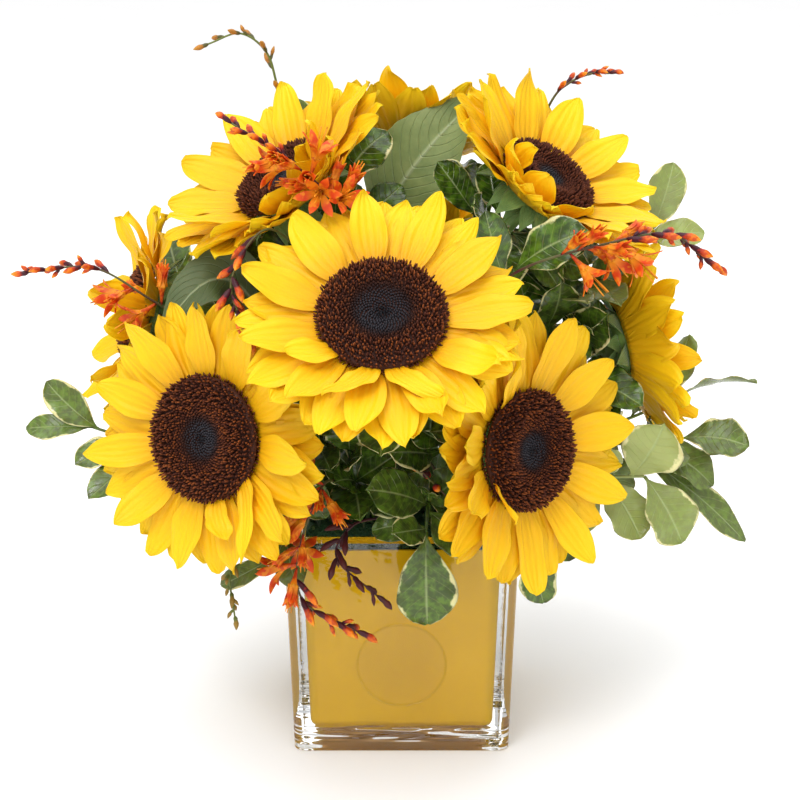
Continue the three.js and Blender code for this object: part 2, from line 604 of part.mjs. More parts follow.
// Ring and petals are one mesh. Each petal grows from its own stretch of the ring's rim,
// the front row from the upper half and the back row from the lower half.
function makePetals(bloom) {
    const { at } = axesOf(bloom);
    const petals = choosePetals(bloom);
    const facets = new Facets();
    const rim = bloom.disc - RING_LIP;
    const columns = petals.map((_, slot) => {
        const angle = (slot - 0.5) / bloom.slots * Math.PI * 2;
        const vertex = (r, z) => facets.vertex(at(angle, r, z));
        return {
            innerTop: vertex(rim * 0.6, RING_HALF), innerBottom: vertex(rim * 0.6, -RING_HALF),
            top: vertex(rim, RING_HALF), middle: vertex(rim, 0), bottom: vertex(rim, -RING_HALF),
        };
    });
    petals.forEach((petal, slot) => {
        const [a, b] = [columns[slot], columns[(slot + 1) % bloom.slots]];
        facets.face(a.innerTop, a.top, b.top, b.innerTop);
        facets.face(a.innerBottom, b.innerBottom, b.bottom, a.bottom);
        facets.face(a.innerTop, b.innerTop, b.innerBottom, a.innerBottom);
        if (!petal || !petal.front) {
            facets.face(a.top, a.middle, b.middle, b.top);
        }
        if (!petal || petal.front) {
            facets.face(a.middle, a.bottom, b.bottom, b.middle);
        }
        if (petal) {
            const [upper, lower] = petal.front ? ['top', 'middle'] : ['middle', 'bottom'];
            const root = {
                minusTop: a[upper], plusTop: b[upper],
                minusBottom: a[lower], plusBottom: b[lower],
            };
            const stations = PETAL_STATIONS.map((row) => petalStation(bloom, petal, row));
            addBlade(facets, root, stations, petalTip(bloom, petal));
        }
    });
    place(`bloom_${bloom.name}_petals`, toSolid(facets.geometry()), 'petal');
}

// Rings of florets from the foot to the heart: share of the disc's radius, height, relief.
const DISC_RINGS = [
    [0.94, 0, 0], [1, 2.2, 0], [0.9, 4.6, 0.5], [0.72, 6.2, 0.6], [0.5, 6, 0.6], [0.26, 4.6, 0.5],
];

// The disc: rings of florets in relief round a sunken heart, on a flat foot.
function makeDisc(bloom) {
    const { at } = axesOf(bloom);
    const facets = new Facets();
    const sides = bloom.slots > 20 ? DISC_SIDES : SMALL_DISC_SIDES;
    const rows = DISC_RINGS.map(([share, height, relief], ring) => Array.from({ length: sides }, (_, i) => {
        const angle = (i + (ring % 2) / 2) / sides * Math.PI * 2;
        const floret = relief * (i % 2 === 0 ? 1 : -1);
        return facets.vertex(at(angle, bloom.disc * share, DISC_FOOT + height + floret));
    }));
    for (let ring = 0; ring < rows.length - 1; ring += 1) {
        const [low, high] = [rows[ring], rows[ring + 1]];
        for (let i = 0; i < sides; i += 1) {
            const next = (i + 1) % sides;
            const [near, far] = ring % 2 === 0 ? [i, i] : [next, i];
            facets.face(low[i], low[next], high[near]);
            facets.face(high[far], low[ring % 2 === 0 ? next : i], high[(far + 1) % sides]);
        }
    }
    const foot = facets.vertex(at(0, 0, DISC_FOOT));
    const heart = facets.vertex(at(0, 0, DISC_FOOT + DISC_HEART));
    for (let i = 0; i < sides; i += 1) {
        const next = (i + 1) % sides;
        facets.face(rows[0][next], rows[0][i], foot);
        facets.face(rows.at(-1)[i], rows.at(-1)[next], heart);
    }
    place(`bloom_${bloom.name}_disc`, toSolid(facets.geometry()), 'disc');
}

// Receptacle and bracts: a cup with a flat top, whose rim carries one pointed bract a side.
function bractCup(bloom) {
    const { at } = axesOf(bloom);
    const facets = new Facets();
    const random = seeded(bloom.seed + 1);
    const rim = bloom.disc * 0.78;
    const edge = BRACT_TOP - BRACT_EDGE;
    const columns = Array.from({ length: BRACTS }, (_, i) => {
        const angle = (i - 0.5) / BRACTS * Math.PI * 2;
        return {
            top: facets.vertex(at(angle, rim, BRACT_TOP)), bottom: facets.vertex(at(angle, rim, edge)),
            waist: facets.vertex(at(angle, rim * 0.55, edge - 5.5)),
        };
    });
    const crown = facets.vertex(at(0, 0, BRACT_TOP));
    const base = facets.vertex(at(0, 0, -HEAD_DEPTH));
    columns.forEach((a, i) => {
        const b = columns[(i + 1) % BRACTS];
        const angle = i / BRACTS * Math.PI * 2;
        const bract = {
            angle, start: rim, rise: (BRACT_TOP + edge) / 2,
            length: bloom.disc * (0.62 + 0.14 * random()), width: rim * 0.6,
            cup: -22 - 14 * random(), curl: -12, sweep: 0,
        };
        facets.face(crown, a.top, b.top);
        facets.face(a.bottom, a.waist, b.waist, b.bottom);
        facets.face(base, b.waist, a.waist);
        const root = { minusTop: a.top, plusTop: b.top, minusBottom: a.bottom, plusBottom: b.bottom };
        addBlade(facets, root, [petalStation(bloom, bract, [0.5, 1, 0.08, 1.2])], petalTip(bloom, bract));
    });
    return toSolid(facets.geometry());
}

function makeStemAndBracts(bloom) {
    const { out } = axesOf(bloom);
    const neck = point(bloom.head).addScaledVector(out, 3 - HEAD_DEPTH);
    const lifted = new THREE.Vector3(bloom.foot[0], bloom.foot[1], FOAM_TOP + bloom.lift);
    const behind = neck.clone().addScaledVector(out, -bloom.reach);
    const stalk = new Stalk(bloom.foot, STEM_DEPTH, [lifted, behind, neck], 2);
    const stem = rod(stalk, STEM_RADIUS, STEM_SIDES);
    place(`bloom_${bloom.name}_green`, fuse([stem, bractCup(bloom)]), 'stem');
    drill(bloom.foot, STEM_DEPTH, STEM_RADIUS + FIT, STEM_SIDES);
}

// ---- Leaves ----

// Rows from base to tip: share of the length, breadth, camber.
const LEAF_OUTLINE = [[0, 0.06, 0], [0.36, 0.84, 0.07], [0.74, 0.9, 0.09], [1, 0, 0]];

// Frames of a leaf blade from base to tip, turned by [pitch, yaw] degrees about its base.
function leafFrames(base, tip, width, face, [pitch, yaw]) {
    const along = tip.clone().sub(base);
    const side = along.clone().cross(face).normalize();
    along.applyAxisAngle(side, radians(pitch));
    const up = side.clone().cross(along).normalize();
    along.applyAxisAngle(up, radians(yaw));
    side.applyAxisAngle(up, radians(yaw));
    const arch = along.length() * LEAF_ARCH;
    return LEAF_OUTLINE.map(([share, breadth, camber]) => ({
        centre: base.clone().addScaledVector(along, share)
            .addScaledVector(up, arch * 4 * share * (1 - share)),
        side, up, width: width * breadth, camber: width * camber,
    }));
}

// Leaves spread to the light: up and to the front, or to the back behind the middle.
function outwards(base) {
    const side = THREE.MathUtils.clamp((base.y - 40) / 50, -0.8, 0.8);
    return new THREE.Vector3(base.x / 500, side, 0.6).normalize();
}

function makeLeafy(plan) {
    const { stalk, solid } = routeStem(plan, TWIG_RADIUS, TWIG_DEPTH);
    const parts = [solid];
    plan.leaves.forEach(([share, tip, width]) => {
        const base = stalk.onRod(share);
        for (const bend of LEAF_BENDS) {
            const frames = leafFrames(base, point(tip), width, outwards(base), bend);
            const blade = looseBlade(frames, LEAF_THICK);
            if (isClear(blade)) {
                parts.push(blade);
                break;
            }
        }
    });
    place(plan.name, fuse(parts), 'leaf');
    drill(plan.foot, TWIG_DEPTH, TWIG_RADIUS + FIT, TWIG_SIDES);
}

// A large leaf bends over its bow, and its edge is waved and toothed.
const BIG_OUTLINE = [
    [0, 0.07, 0], [0.1, 0.5, 0.02], [0.25, 0.98, 0.1], [0.36, 0.86, 0.02],
    [0.52, 0.92, 0.1], [0.66, 0.66, 0.03], [0.82, 0.48, 0.08], [1, 0, 0],
];

function bigLeafFrames(plan, [pitch, yaw]) {
    const base = point(plan.base);
    const face = point(plan.face).normalize();
    const turn = (p) => {
        const arm = p.clone().sub(base);
        const side = arm.clone().cross(face).normalize();
        return arm.applyAxisAngle(side, radians(pitch)).applyAxisAngle(face, radians(yaw));
    };
    const [bow, tip] = [turn(point(plan.bow)), turn(point(plan.tip))];
    const spine = new THREE.QuadraticBezierCurve3(new THREE.Vector3(), bow, tip);
    return BIG_OUTLINE.map(([share, breadth, camber]) => {
        const along = spine.getTangent(share);
        const side = along.clone().cross(face).normalize();
        const up = side.clone().cross(along).normalize();
        return {
            centre: spine.getPoint(share).add(base), side, up,
            width: plan.width * breadth, camber: plan.width * camber,
        };
    });
}

function makeBigLeaf(plan) {
    const { solid } = routeStem({ ...plan, via: [...plan.via, plan.base] }, LEAF_STALK_RADIUS, TWIG_DEPTH);
    for (const bend of LEAF_BENDS) {
        const blade = looseBlade(bigLeafFrames(plan, bend), BIG_LEAF_THICK);
        if (isClear(blade)) {
            place(plan.name, fuse([solid, blade]), 'bigLeaf');
            drill(plan.foot, TWIG_DEPTH, LEAF_STALK_RADIUS + FIT, TWIG_SIDES);
            return;
        }
    }
    throw new Error(`no clear way for ${plan.name}`);
}

// ---- Sprays ----

// Directions across a stem at a place along it: level, and square to that.
function acrossStem(route, share) {
    const along = route.getTangent(share);
    const level = along.clone().cross(new THREE.Vector3(0, 0, 1)).normalize();
    return { along, level, rise: level.clone().cross(along) };
}

function aim(route, share, turn, splay) {
    const { along, level, rise } = acrossStem(route, share);
    return along.clone().multiplyScalar(Math.cos(splay))
        .addScaledVector(level, Math.cos(turn) * Math.sin(splay))
        .addScaledVector(rise, Math.sin(turn) * Math.sin(splay));
}

// A bud, berry or flower tube: a spindle with three sides.
function spindle(base, direction, length, radius, waist = 0.5) {
    const facets = new Facets();
    const level = direction.clone().cross(new THREE.Vector3(0.3, 0.2, 1)).normalize();
    const rise = level.clone().cross(direction);
    const start = facets.vertex(base);
    const end = facets.vertex(base.clone().addScaledVector(direction, length));
    const ring = [0, 1, 2].map((i) => facets.vertex(base.clone().addScaledVector(direction, length * waist)
        .addScaledVector(level, radius * Math.cos(i * Math.PI * 2 / 3))
        .addScaledVector(rise, radius * Math.sin(i * Math.PI * 2 / 3))));
    ring.forEach((a, i) => {
        const b = ring[(i + 1) % 3];
        facets.face(start, a, b);
        facets.face(a, end, b);
    });
    return toSolid(facets.geometry());
}

// An open flower: a slim tube whose mouth carries five pointed lobes.
function openFlower(base, direction) {
    const throat = base.clone().addScaledVector(direction, FLOWER_TUBE);
    const flower = { head: throat.toArray(), facing: direction.toArray() };
    const { at } = axesOf(flower);
    const facets = new Facets();
    const start = facets.vertex(base);
    const deep = facets.vertex(at(0, 0, -3));
    const columns = Array.from({ length: FLOWER_LOBES }, (_, i) => {
        const angle = (i - 0.5) / FLOWER_LOBES * Math.PI * 2;
        return { outer: facets.vertex(at(angle, 2.7, -0.5)), inner: facets.vertex(at(angle, 1.6, 0.4)) };
    });
    columns.forEach((a, i) => {
        const b = columns[(i + 1) % FLOWER_LOBES];
        const lobe = {
            angle: i / FLOWER_LOBES * Math.PI * 2, start: 2.2, rise: 0,
            length: FLOWER_LOBE_LENGTH, width: 5.2, cup: 52, curl: -30, sweep: 0,
        };
        facets.face(start, b.outer, a.outer);
        facets.face(deep, a.inner, b.inner);
        const root = { minusTop: a.inner, plusTop: b.inner, minusBottom: a.outer, plusBottom: b.outer };
        addBlade(facets, root, [petalStation(flower, lobe, [0.5, 1, 0.1, 1.1])], petalTip(flower, lobe));
    });
    return toSolid(facets.geometry());
}

function makeSpray(plan) {
    const { stalk, solid } = routeStem(plan, SPRAY_RADIUS, SPRAY_DEPTH);
    const random = seeded(plan.seed);
    const parts = [solid];
    const grown = [];
    const keep = (tries) => {
        const found = tries.find((piece) => isClear(piece) && isClear(piece, grown));
        if (found) {
            parts.push(found);
            grown.push({ solid: found, box: found.boundingBox() });
        }
    };
    const [first, last, count, length, radius] = plan.buds;
    for (let i = 0; i < count; i += 1) {
        const share = mix(first, last, i / (count - 1));
        const turn = (i % 2) * Math.PI + radians(40 * random() - 20);
        const size = length * (1.15 - 0.4 * i / count);
        const splays = i === count - 1 ? [5, 25] : [42, 62, 25, 80];
        keep(splays.map((splay) => {
            const direction = aim(stalk.route, share, turn, radians(splay));
            return spindle(stalk.onRod(share).addScaledVector(direction, -SUNK), direction, size, radius);
        }));
    }
    plan.flowers.forEach(([share, turn]) => {
        keep([0, 35, -35, 70, -70, 110, -110].map((more) => {
            const direction = aim(stalk.route, share, radians(turn + more), radians(62));
            return openFlower(stalk.onRod(share).addScaledVector(direction, -SUNK), direction);
        }));
    });
    place(plan.name, fuse(parts), 'spray');
    drill(plan.foot, SPRAY_DEPTH, SPRAY_RADIUS + FIT, TWIG_SIDES);
}

// ---- Foam ----

function makeFoam() {
    const inset = VASE_WALL + FIT * 2 + LINER_SHEET;
    const floor = VASE_FLOOR + FIT * 2 + LINER_SHEET;
    const levels = innerLevels(inset, floor, CAVITY_ROUND, LINER_TOP).filter((_, i) => i !== 1);
    const top = levels.at(-1);
    levels.push({ ...top, z: FOAM_TOP - FOAM_CHAMFER });
    levels.push({ z: FOAM_TOP, half: top.half - FOAM_CHAMFER, corner: top.corner - FOAM_CHAMFER * 0.3 });
    const block = squareLoft(levels);
    place('foam', block.subtract(wasm.Manifold.union(holes)), 'foam');
}

// ---- Assembly ----

makeVase();
makeLiner();
makeSeal();
BLOOMS.forEach(makeStemAndBracts);
BLOOMS.forEach(makeDisc);
SPRAYS.filter((spray) => spray.early).forEach(makeSpray);
BLOOMS.slice(0, 5).forEach(makePetals);
BIG_LEAVES.forEach(makeBigLeaf);
BLOOMS.slice(5).forEach(makePetals);
LEAFY.forEach(makeLeafy);
SPRAYS.filter((spray) => !spray.early).forEach(makeSpray);
makeFoam();

export default group;
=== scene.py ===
"""Sunflowers, crocosmia and variegated foliage in a lined glass cube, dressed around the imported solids."""

import math
from functools import cache
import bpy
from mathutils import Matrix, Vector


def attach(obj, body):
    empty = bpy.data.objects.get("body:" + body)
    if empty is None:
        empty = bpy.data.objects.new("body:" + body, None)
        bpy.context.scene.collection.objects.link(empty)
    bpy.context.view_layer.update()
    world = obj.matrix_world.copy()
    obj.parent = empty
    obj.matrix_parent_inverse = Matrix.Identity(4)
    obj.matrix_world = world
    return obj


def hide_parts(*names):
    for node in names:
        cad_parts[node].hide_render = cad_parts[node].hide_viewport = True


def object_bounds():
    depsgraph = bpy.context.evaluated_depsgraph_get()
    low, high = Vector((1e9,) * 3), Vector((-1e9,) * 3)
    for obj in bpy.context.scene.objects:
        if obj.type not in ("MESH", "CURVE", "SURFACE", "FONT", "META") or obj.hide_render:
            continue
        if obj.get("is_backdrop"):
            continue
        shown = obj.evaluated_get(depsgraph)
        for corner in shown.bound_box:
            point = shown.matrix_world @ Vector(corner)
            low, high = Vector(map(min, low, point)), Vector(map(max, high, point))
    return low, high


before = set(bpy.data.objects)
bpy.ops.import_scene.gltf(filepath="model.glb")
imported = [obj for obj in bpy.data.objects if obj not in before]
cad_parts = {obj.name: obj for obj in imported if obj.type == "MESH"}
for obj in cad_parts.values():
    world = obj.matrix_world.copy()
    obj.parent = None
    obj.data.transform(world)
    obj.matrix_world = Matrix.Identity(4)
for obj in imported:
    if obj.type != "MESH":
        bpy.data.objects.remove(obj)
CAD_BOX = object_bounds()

from types import SimpleNamespace

import bpy
import numpy as np
from bpy.props import FloatProperty, FloatVectorProperty, IntProperty, PointerProperty
from mathutils.bvhtree import BVHTree

bl_info = {
    "name": "Sunflower cube bouquet",
    "version": (1, 0, 0),
    "blender": (4, 5, 0),
    "location": "3D View > Sidebar > Bouquet",
    "description": "Dresses the solids of a sunflower bouquet in a lined glass cube",
    "category": "Object",
}

# ---- Sizes: the same driving dimensions as the solids, in millimetres ----

MM = 0.001
VASE_HEIGHT = 118
VASE_TOP_HALF = 60
VASE_FOOT_HALF = 56.5
VASE_WALL = 9
VASE_FLOOR = 10
VASE_CORNER = 6
CAVITY_CORNER = 5
CAVITY_ROUND = 5
FIT = 0.3
LINER_SHEET = 0.9
LINER_TOP = 112
FOAM_TOP = 124
FOAM_CHAMFER = 7
SEAL_RADIUS = 23.5
SEAL_HEIGHT = 50
SEAL_THICK = 0.8
SEAL_RIM = 1.6
SEAL_SLOPE = 0.5
SEAL_DISH = 0.4
BEDDED = 0.05  # the lining's outside lies this far into the glass, so that no film of air shows between them

RING_HALF = 1.2
RING_LIP = 0.5
BRACT_TOP = -RING_HALF - FIT
DISC_FOOT = RING_HALF + FIT
HEAD_DEPTH = 14
BRACTS = 8
BRACT_EDGE = 2
BRACT_THICK = 0.7
CUP_RIM = 0.78  # the receptacle's rim, as a share of the disc's radius
STEM_RADIUS = 4
STEM_SIDES = 14
STEM_STEPS = 36
CUP_SIDES = 28
STEM_DEPTH = 50
TWIG_RADIUS = 1.3
TWIG_DEPTH = 30
LEAF_STALK_RADIUS = 1.8
SPRAY_RADIUS = 0.9
SPRAY_DEPTH = 28
LEAF_THICK = 1.1
BIG_LEAF_THICK = 1.3
LEAF_ARCH = 0.09
SUNK = 0.35
FLOWER_TUBE = 11
TUBE_SIDES = 12
FLOWER_LOBE_LENGTH = 13
LOBE_THICK = 0.45
SOLID_LOBES = 5
REAL_LOBES = 6

# ---- Places: each stem, bloom, leaf and spray of the bouquet ----

def rows(keys, *values):
    """A table's rows, each with the names of the columns."""
    return [dict(zip(keys.split(), row)) for row in values]


# head: centre of the petal ring; facing: the bloom's axis; foot: where its stem enters the foam;
# fold: direction of the petals that fold over the disc, in degrees round the head, and how far they fold.
BLOOMS = rows(
    "name head facing foot lift reach disc petal cup slots fold seed",
    ("front", (-9, -118, 250), (0, -0.67, 0.74), (-3, -30), 36, 40, 29.5, 39.5, 8, 22, (90, 5, 0), 11),
    ("left", (-93, -84, 182), (-0.51, -0.84, 0.18), (-28, -24), 30, 35, 30.5, 38.5, 7, 22, (0, 6, 0), 23),
    ("right", (59, -84, 176), (0.67, -0.73, 0.15), (22, -24), 26, 35, 29, 40, 8, 22, (165, 12, 0), 37),
    ("upper_left", (-56.5, -32, 296), (-0.52, -0.34, 0.8), (-20, -5), 56, 50, 24.5, 41, 24, 22, (-5, 30, 0.42), 41),
    ("upper_right", (71, -20, 294), (0.52, -0.36, 0.78), (17, -2), 56, 50, 25, 41, 24, 22, (-170, 30, 0.42), 53),
    ("far_right", (115, 0, 207), (0.96, 0.18, 0.2), (36, 9), 30, 35, 24, 38, 34, 16, (0, 0, 0), 61),
    ("far_left", (-134, 5, 222), (-0.94, -0.18, 0.27), (-38, 10), 36, 40, 24, 36, 22, 16, (0, 0, 0), 71),
    ("top", (3, 62, 301), (0.1, 0.45, 0.88), (-3, 17), 66, 50, 24, 36, 28, 16, (0, 0, 0), 83),
    ("back", (8, 102, 212), (0.05, 0.97, 0.24), (6, 38), 30, 35, 27, 38, 10, 18, (0, 0, 0), 97),
)

# The stalk runs through via to base, and the blade bends from base over bow to tip.
# tone: how much of its own green a leaf keeps against painted shade, 1 for a leaf in full light and less for leaves
# in the bouquet's shade.
BIG_LEAVES = rows(
    "name foot via base bow tip width face tone",
    ("leaf_top", (5, 6), [(2, 12, 205)], (-12, 20, 266), (6, 16, 304), (41, 24, 332), 46, (-0.3, -0.9, 0.3), 1),
    ("leaf_left", (-34, -10), [(-46, -20, 180)], (-66, -38, 222), (-92, -56, 276), (-114, -64, 230), 34,
     (-0.5, -0.8, 0.4), 0.3),
    ("leaf_back_left", (-24, 28), [(-34, 44, 170)], (-44, 62, 214), (-62, 88, 262), (-84, 108, 250), 44,
     (-0.4, 0.8, 0.5), 0.7),
    ("leaf_back_right", (28, 30), [(40, 46, 165)], (52, 62, 205), (74, 86, 250), (96, 104, 232), 44,
     (0.4, 0.8, 0.5), 0.7),
)

# The stem runs through via; each leaf is (place along the stem, tip, width). pale: how light its leaves are.
LEAFY = rows(
    "name foot via pale leaves",
    ("leafy_front", (14, -41), [(14, -54, 138), (13, -67, 140), (12, -74, 130)], 0.1,
     [(1, (13, -79, 82), 30), (0.72, (34, -84, 121), 21), (0.62, (-18, -86, 156), 25), (0.5, (30, -72, 158), 20)]),
    ("leafy_front_left", (-14, -40), [(-18, -50, 140), (-24, -58, 152), (-26, -62, 168)], 0.05,
     [(0.4, (6, -70, 142), 25), (1, (-27, -76, 190), 22), (0.62, (-2, -66, 168), 20), (0.85, (-6, -62, 186), 18),
      (0.5, (-46, -70, 142), 18)]),
    ("leafy_front_right", (38, -38), [(44, -50, 138), (54, -60, 136), (64, -64, 122)], 0.1,
     [(1, (72, -66, 88), 20), (0.7, (88, -64, 112), 18), (0.55, (52, -76, 112), 17)]),
    ("leafy_low_right", (43, -12), [(64, -16, 136), (96, -22, 140), (126, -26, 142)], 1.0,
     [(1, (146, -34, 108), 30), (0.9, (134, -34, 174), 32), (0.72, (124, -34, 110), 25), (0.55, (92, -34, 112), 22)]),
    ("leafy_right", (44, 20), [(78, 20, 140), (118, 14, 146), (150, 12, 150)], 0.35,
     [(1, (186, 4, 148), 25), (0.93, (166, -6, 184), 25), (0.82, (168, 4, 126), 24), (0.72, (188, 12, 90), 19),
      (0.62, (120, 6, 118), 24)]),
    ("leafy_far_right", (30, 20), [(78, 46, 138), (122, 60, 144), (152, 42, 164)], 0.45,
     [(1, (192, 22, 178), 19), (0.9, (160, 58, 196), 20), (0.74, (138, 82, 168), 22), (0.6, (104, 84, 168), 22)]),
    ("leafy_upper_right", (27, -4), [(56, 2, 190), (98, 6, 236), (130, 14, 262)], 0.85,
     [(1, (141, 22, 298), 20), (0.94, (158, 14, 262), 17), (0.86, (128, -40, 256), 17), (0.7, (110, -36, 226), 20),
      (0.6, (92, -44, 238), 18)]),
    ("leafy_top_right", (10, -12), [(20, -22, 200), (38, -44, 240), (54, -66, 260)], 0.05,
     [(1, (88, -76, 282), 24), (0.9, (40, -58, 288), 18), (0.75, (24, -34, 262), 18), (0.55, (56, -30, 222), 20)]),
    ("leafy_top_left", (-12, 8), [(-30, 14, 210), (-46, 24, 256), (-50, 34, 294)], 0.3,
     [(1, (-60, 46, 328), 20), (0.9, (-24, 30, 318), 18), (0.75, (-78, 30, 284), 22), (0.6, (-18, 34, 262), 20)]),
    ("leafy_left", (-43, -6), [(-84, -10, 142), (-126, -16, 156), (-160, -18, 166)], 0.25,
     [(1, (-196, -14, 164), 14), (0.96, (-184, -14, 190), 18), (0.86, (-160, -14, 196), 17),
      (0.8, (-168, -32, 150), 17), (0.65, (-160, -44, 136), 19), (0.55, (-112, -20, 120), 22)]),
    ("leafy_low_left", (-38, -36), [(-48, -48, 134), (-56, -56, 126), (-62, -60, 112)], 0.4,
     [(1, (-92, -58, 94), 12), (0.8, (-52, -76, 100), 16), (0.7, (-84, -62, 124), 18), (0.5, (-60, -42, 150), 20)]),
    ("leafy_back_left", (-40, 34), [(-60, 50, 140), (-84, 68, 158), (-104, 84, 170)], 0.3,
     [(1, (-130, 100, 166), 24), (0.9, (-98, 104, 190), 24), (0.8, (-112, 62, 176), 22), (0.66, (-70, 90, 138), 24),
      (0.5, (-84, 46, 128), 24)]),
    ("leafy_back_right", (40, 38), [(58, 54, 138), (78, 74, 150), (96, 90, 158)], 0.2,
     [(1, (124, 104, 150), 24), (0.9, (88, 112, 176), 24), (0.8, (112, 70, 164), 22), (0.66, (62, 96, 130), 24),
      (0.5, (84, 52, 122), 24)]),
    ("leafy_back", (-10, 44), [(-12, 56, 140), (-16, 70, 146), (-18, 84, 142)], 0.5,
     [(1, (-20, 96, 108), 26), (0.85, (-46, 92, 130), 24), (0.7, (12, 88, 128), 24), (0.5, (-34, 70, 160), 22)]),
)

# buds: first place along the stem, last place, count, length, radius. flowers: place, direction in degrees.
# tone: 0 an orange spray, 0.5 a green one, 1 a dark red one.
SPRAYS = rows(
    "name foot tone via buds flowers seed",
    ("spray_upper_left", (-11, -15), 0,
     [(-15, -24, 200), (-20, -42, 250), (-25, -57, 284), (-50, -75, 313), (-79, -73, 332)],
     (0.82, 1, 8, 7, 1.5), [(0.66, 250), (0.71, 320), (0.75, 220), (0.79, 290)], 5),
    ("spray_right", (12, -26), 0,
     [(18, -30, 190), (32, -56, 236), (56, -80, 264), (94, -84, 277), (126, -75, 280), (148, -68, 264)],
     (0.72, 1, 10, 8, 1.6), [(0.6, 280), (0.66, 240), (0.7, 300)], 7),
    ("spray_left", (-28, 4), 0,
     [(-40, -2, 170), (-78, -14, 208), (-118, -40, 236), (-150, -46, 257), (-183, -46, 255)],
     (0.76, 1, 10, 7, 1.5), [(0.62, 250), (0.68, 300)], 13),
    ("spray_centre_left", (-14, -22), 0.15,
     [(-22, -26, 200), (-40, -50, 252), (-62, -82, 284), (-79, -94, 262), (-72, -97, 238)],
     (0.66, 1, 9, 8, 1.6), [], 17),
    ("spray_front_left", (-26, -42), 0,
     [(-28, -58, 146), (-38, -84, 158), (-50, -92, 126), (-48, -90, 99), (-22, -85, 81)],
     (0.7, 1, 9, 8, 1.5), [(0.4, 80), (0.5, 20), (0.58, 330), (0.64, 60)], 19),
    ("spray_top_left", (-20, 16), 0.4,
     [(-30, 18, 220), (-48, 16, 290), (-62, 14, 334), (-68, 12, 355), (-81, 10, 365), (-97, 8, 360)],
     (0.42, 1, 8, 6.5, 1.3), [], 29),
    ("spray_top_right", (24, 16), 0.1,
     [(36, 24, 220), (58, 34, 290), (72, 30, 327), (82, 30, 338), (94, 29, 343), (107, 28, 343)],
     (0.56, 1, 7, 6, 1.3), [], 31),
    ("spray_front_dark", (2, -43), 1,
     [(-8, -60, 144), (-24, -76, 146), (-32, -84, 132), (-12, -87, 101)],
     (0.5, 1, 9, 7, 1.4), [], 43),
    ("spray_low_left", (-44, -24), 0.5,
     [(-62, -46, 136), (-78, -60, 122), (-82, -64, 104), (-85, -64, 80)],
     (0.6, 1, 7, 6, 1.3), [], 47),
    ("spray_berries", (27, -40), 0.1,
     [(16, -52, 156), (0, -66, 178), (4, -78, 170), (22, -78, 150)],
     (0.5, 1, 8, 5, 1.8), [], 59),
)

# Seeds: the first five are added to a bloom's or spray's own, and the next two to a plan's number.
PETAL_SEED, DISC_SEED, GREEN_SEED, INNER_SEED, EXTRA_SEED = 300, 500, 700, 900, 40
LEAFY_SEED, BIG_LEAF_SEED, CLOSING_SEED, MOSS_SEED = 901, 131, 4021, 211
SEED_STEP, DRAW_FACTOR, DRAW_PRIME = 7919, 16807, 2147483647

# What an aimed blade and a routed stem of the solids may have been bent or moved by.
PETAL_BENDS = [0, 9, -9, 18, -18, 28, -28, 40, -40, 54, 68]
LEAF_BENDS = [
    (0, 0), (14, 0), (-14, 0), (0, 16), (0, -16), (28, 0), (-28, 0), (20, 26), (-20, 26),
    (20, -26), (-20, -26), (44, 0), (-44, 0), (0, 40), (0, -40), (62, 0), (-62, 0),
]
STEM_SHIFTS = [
    (0, 0, 0), (5, 0, 0), (-5, 0, 0), (0, 5, 0), (0, -5, 0), (0, 0, 6), (0, 0, -6),
    (9, 0, 0), (-9, 0, 0), (0, 9, 0), (0, -9, 0), (7, 7, 0), (-7, 7, 0), (7, -7, 0), (-7, -7, 0),
    (0, 0, 12), (0, 0, -12), (14, 0, 6), (-14, 0, 6), (0, 14, 6), (0, -14, 6),
    (14, 0, -6), (-14, 0, -6), (0, 14, -6), (0, -14, -6),
]
# How far from its solid the marks of a try may lie.
STEM_MISS, LEAF_MISS, FLOWER_MISS, BUD_MISS, PETAL_MISS = 3.0, 1.0, 0.5, 0.4, 0.4
BUD_SPLAYS = (42, 62, 25, 80)
LAST_BUD_SPLAYS = (5, 25)
FLOWER_TURNS = (0, 35, -35, 70, -70, 110, -110)
FLOWER_SPLAY = 62

# Outlines, as (place along, value) stops.
PETAL_WIDTH = [(0.16, 0.8), (0.42, 1), (0.62, 0.93), (0.78, 0.74), (0.9, 0.44), (0.97, 0.17), (1, 0)]
BRACT_WIDTH = [(0, 0.9), (0.25, 1), (0.5, 0.78), (0.75, 0.36), (0.92, 0.12), (1, 0)]
LEAF_WIDTH = [(0, 0.07), (0.09, 0.09), (0.18, 0.34), (0.36, 0.78), (0.58, 1.0), (0.76, 0.93), (0.9, 0.64),
              (0.965, 0.34), (1, 0)]
BIG_LEAF_WIDTH = [(0, 0.07), (0.08, 0.3), (0.22, 0.84), (0.38, 0.98), (0.55, 0.9), (0.72, 0.66), (0.88, 0.34),
                  (1, 0)]
LOBE_WIDTH = [(0, 0.6), (0.3, 0.86), (0.55, 1), (0.8, 0.66), (0.94, 0.28), (1, 0)]
BUD_RADIUS = [(0, 0.3), (0.12, 0.6), (0.34, 0.78), (0.4, 0.7), (0.62, 1), (0.84, 0.7), (1, 0.14)]
BERRY_RADIUS = [(0, 0.3), (0.2, 0.8), (0.5, 1), (0.8, 0.85), (0.94, 0.45), (1, 0.15)]
DISC_SECTION = [(0.94, 0), (1, 2.2), (0.9, 4.6), (0.72, 6.2), (0.5, 6), (0.26, 4.6), (0, 3.6)]

# Rows along and columns across each kind of blade, and where its last row lies, short of the tip.
PETAL_ROWS, PETAL_COLUMNS = 19, 13
BRACT_ROWS, BRACT_COLUMNS = 10, 7
LEAF_ROWS, LEAF_COLUMNS = 17, 9
BIG_LEAF_ROWS, BIG_LEAF_COLUMNS = 64, 21
LOBE_ROWS, LOBE_COLUMNS = 9, 7
LAST_ROW, LAST_SMALL_ROW = 0.985, 0.97


# ---- Small sums ----

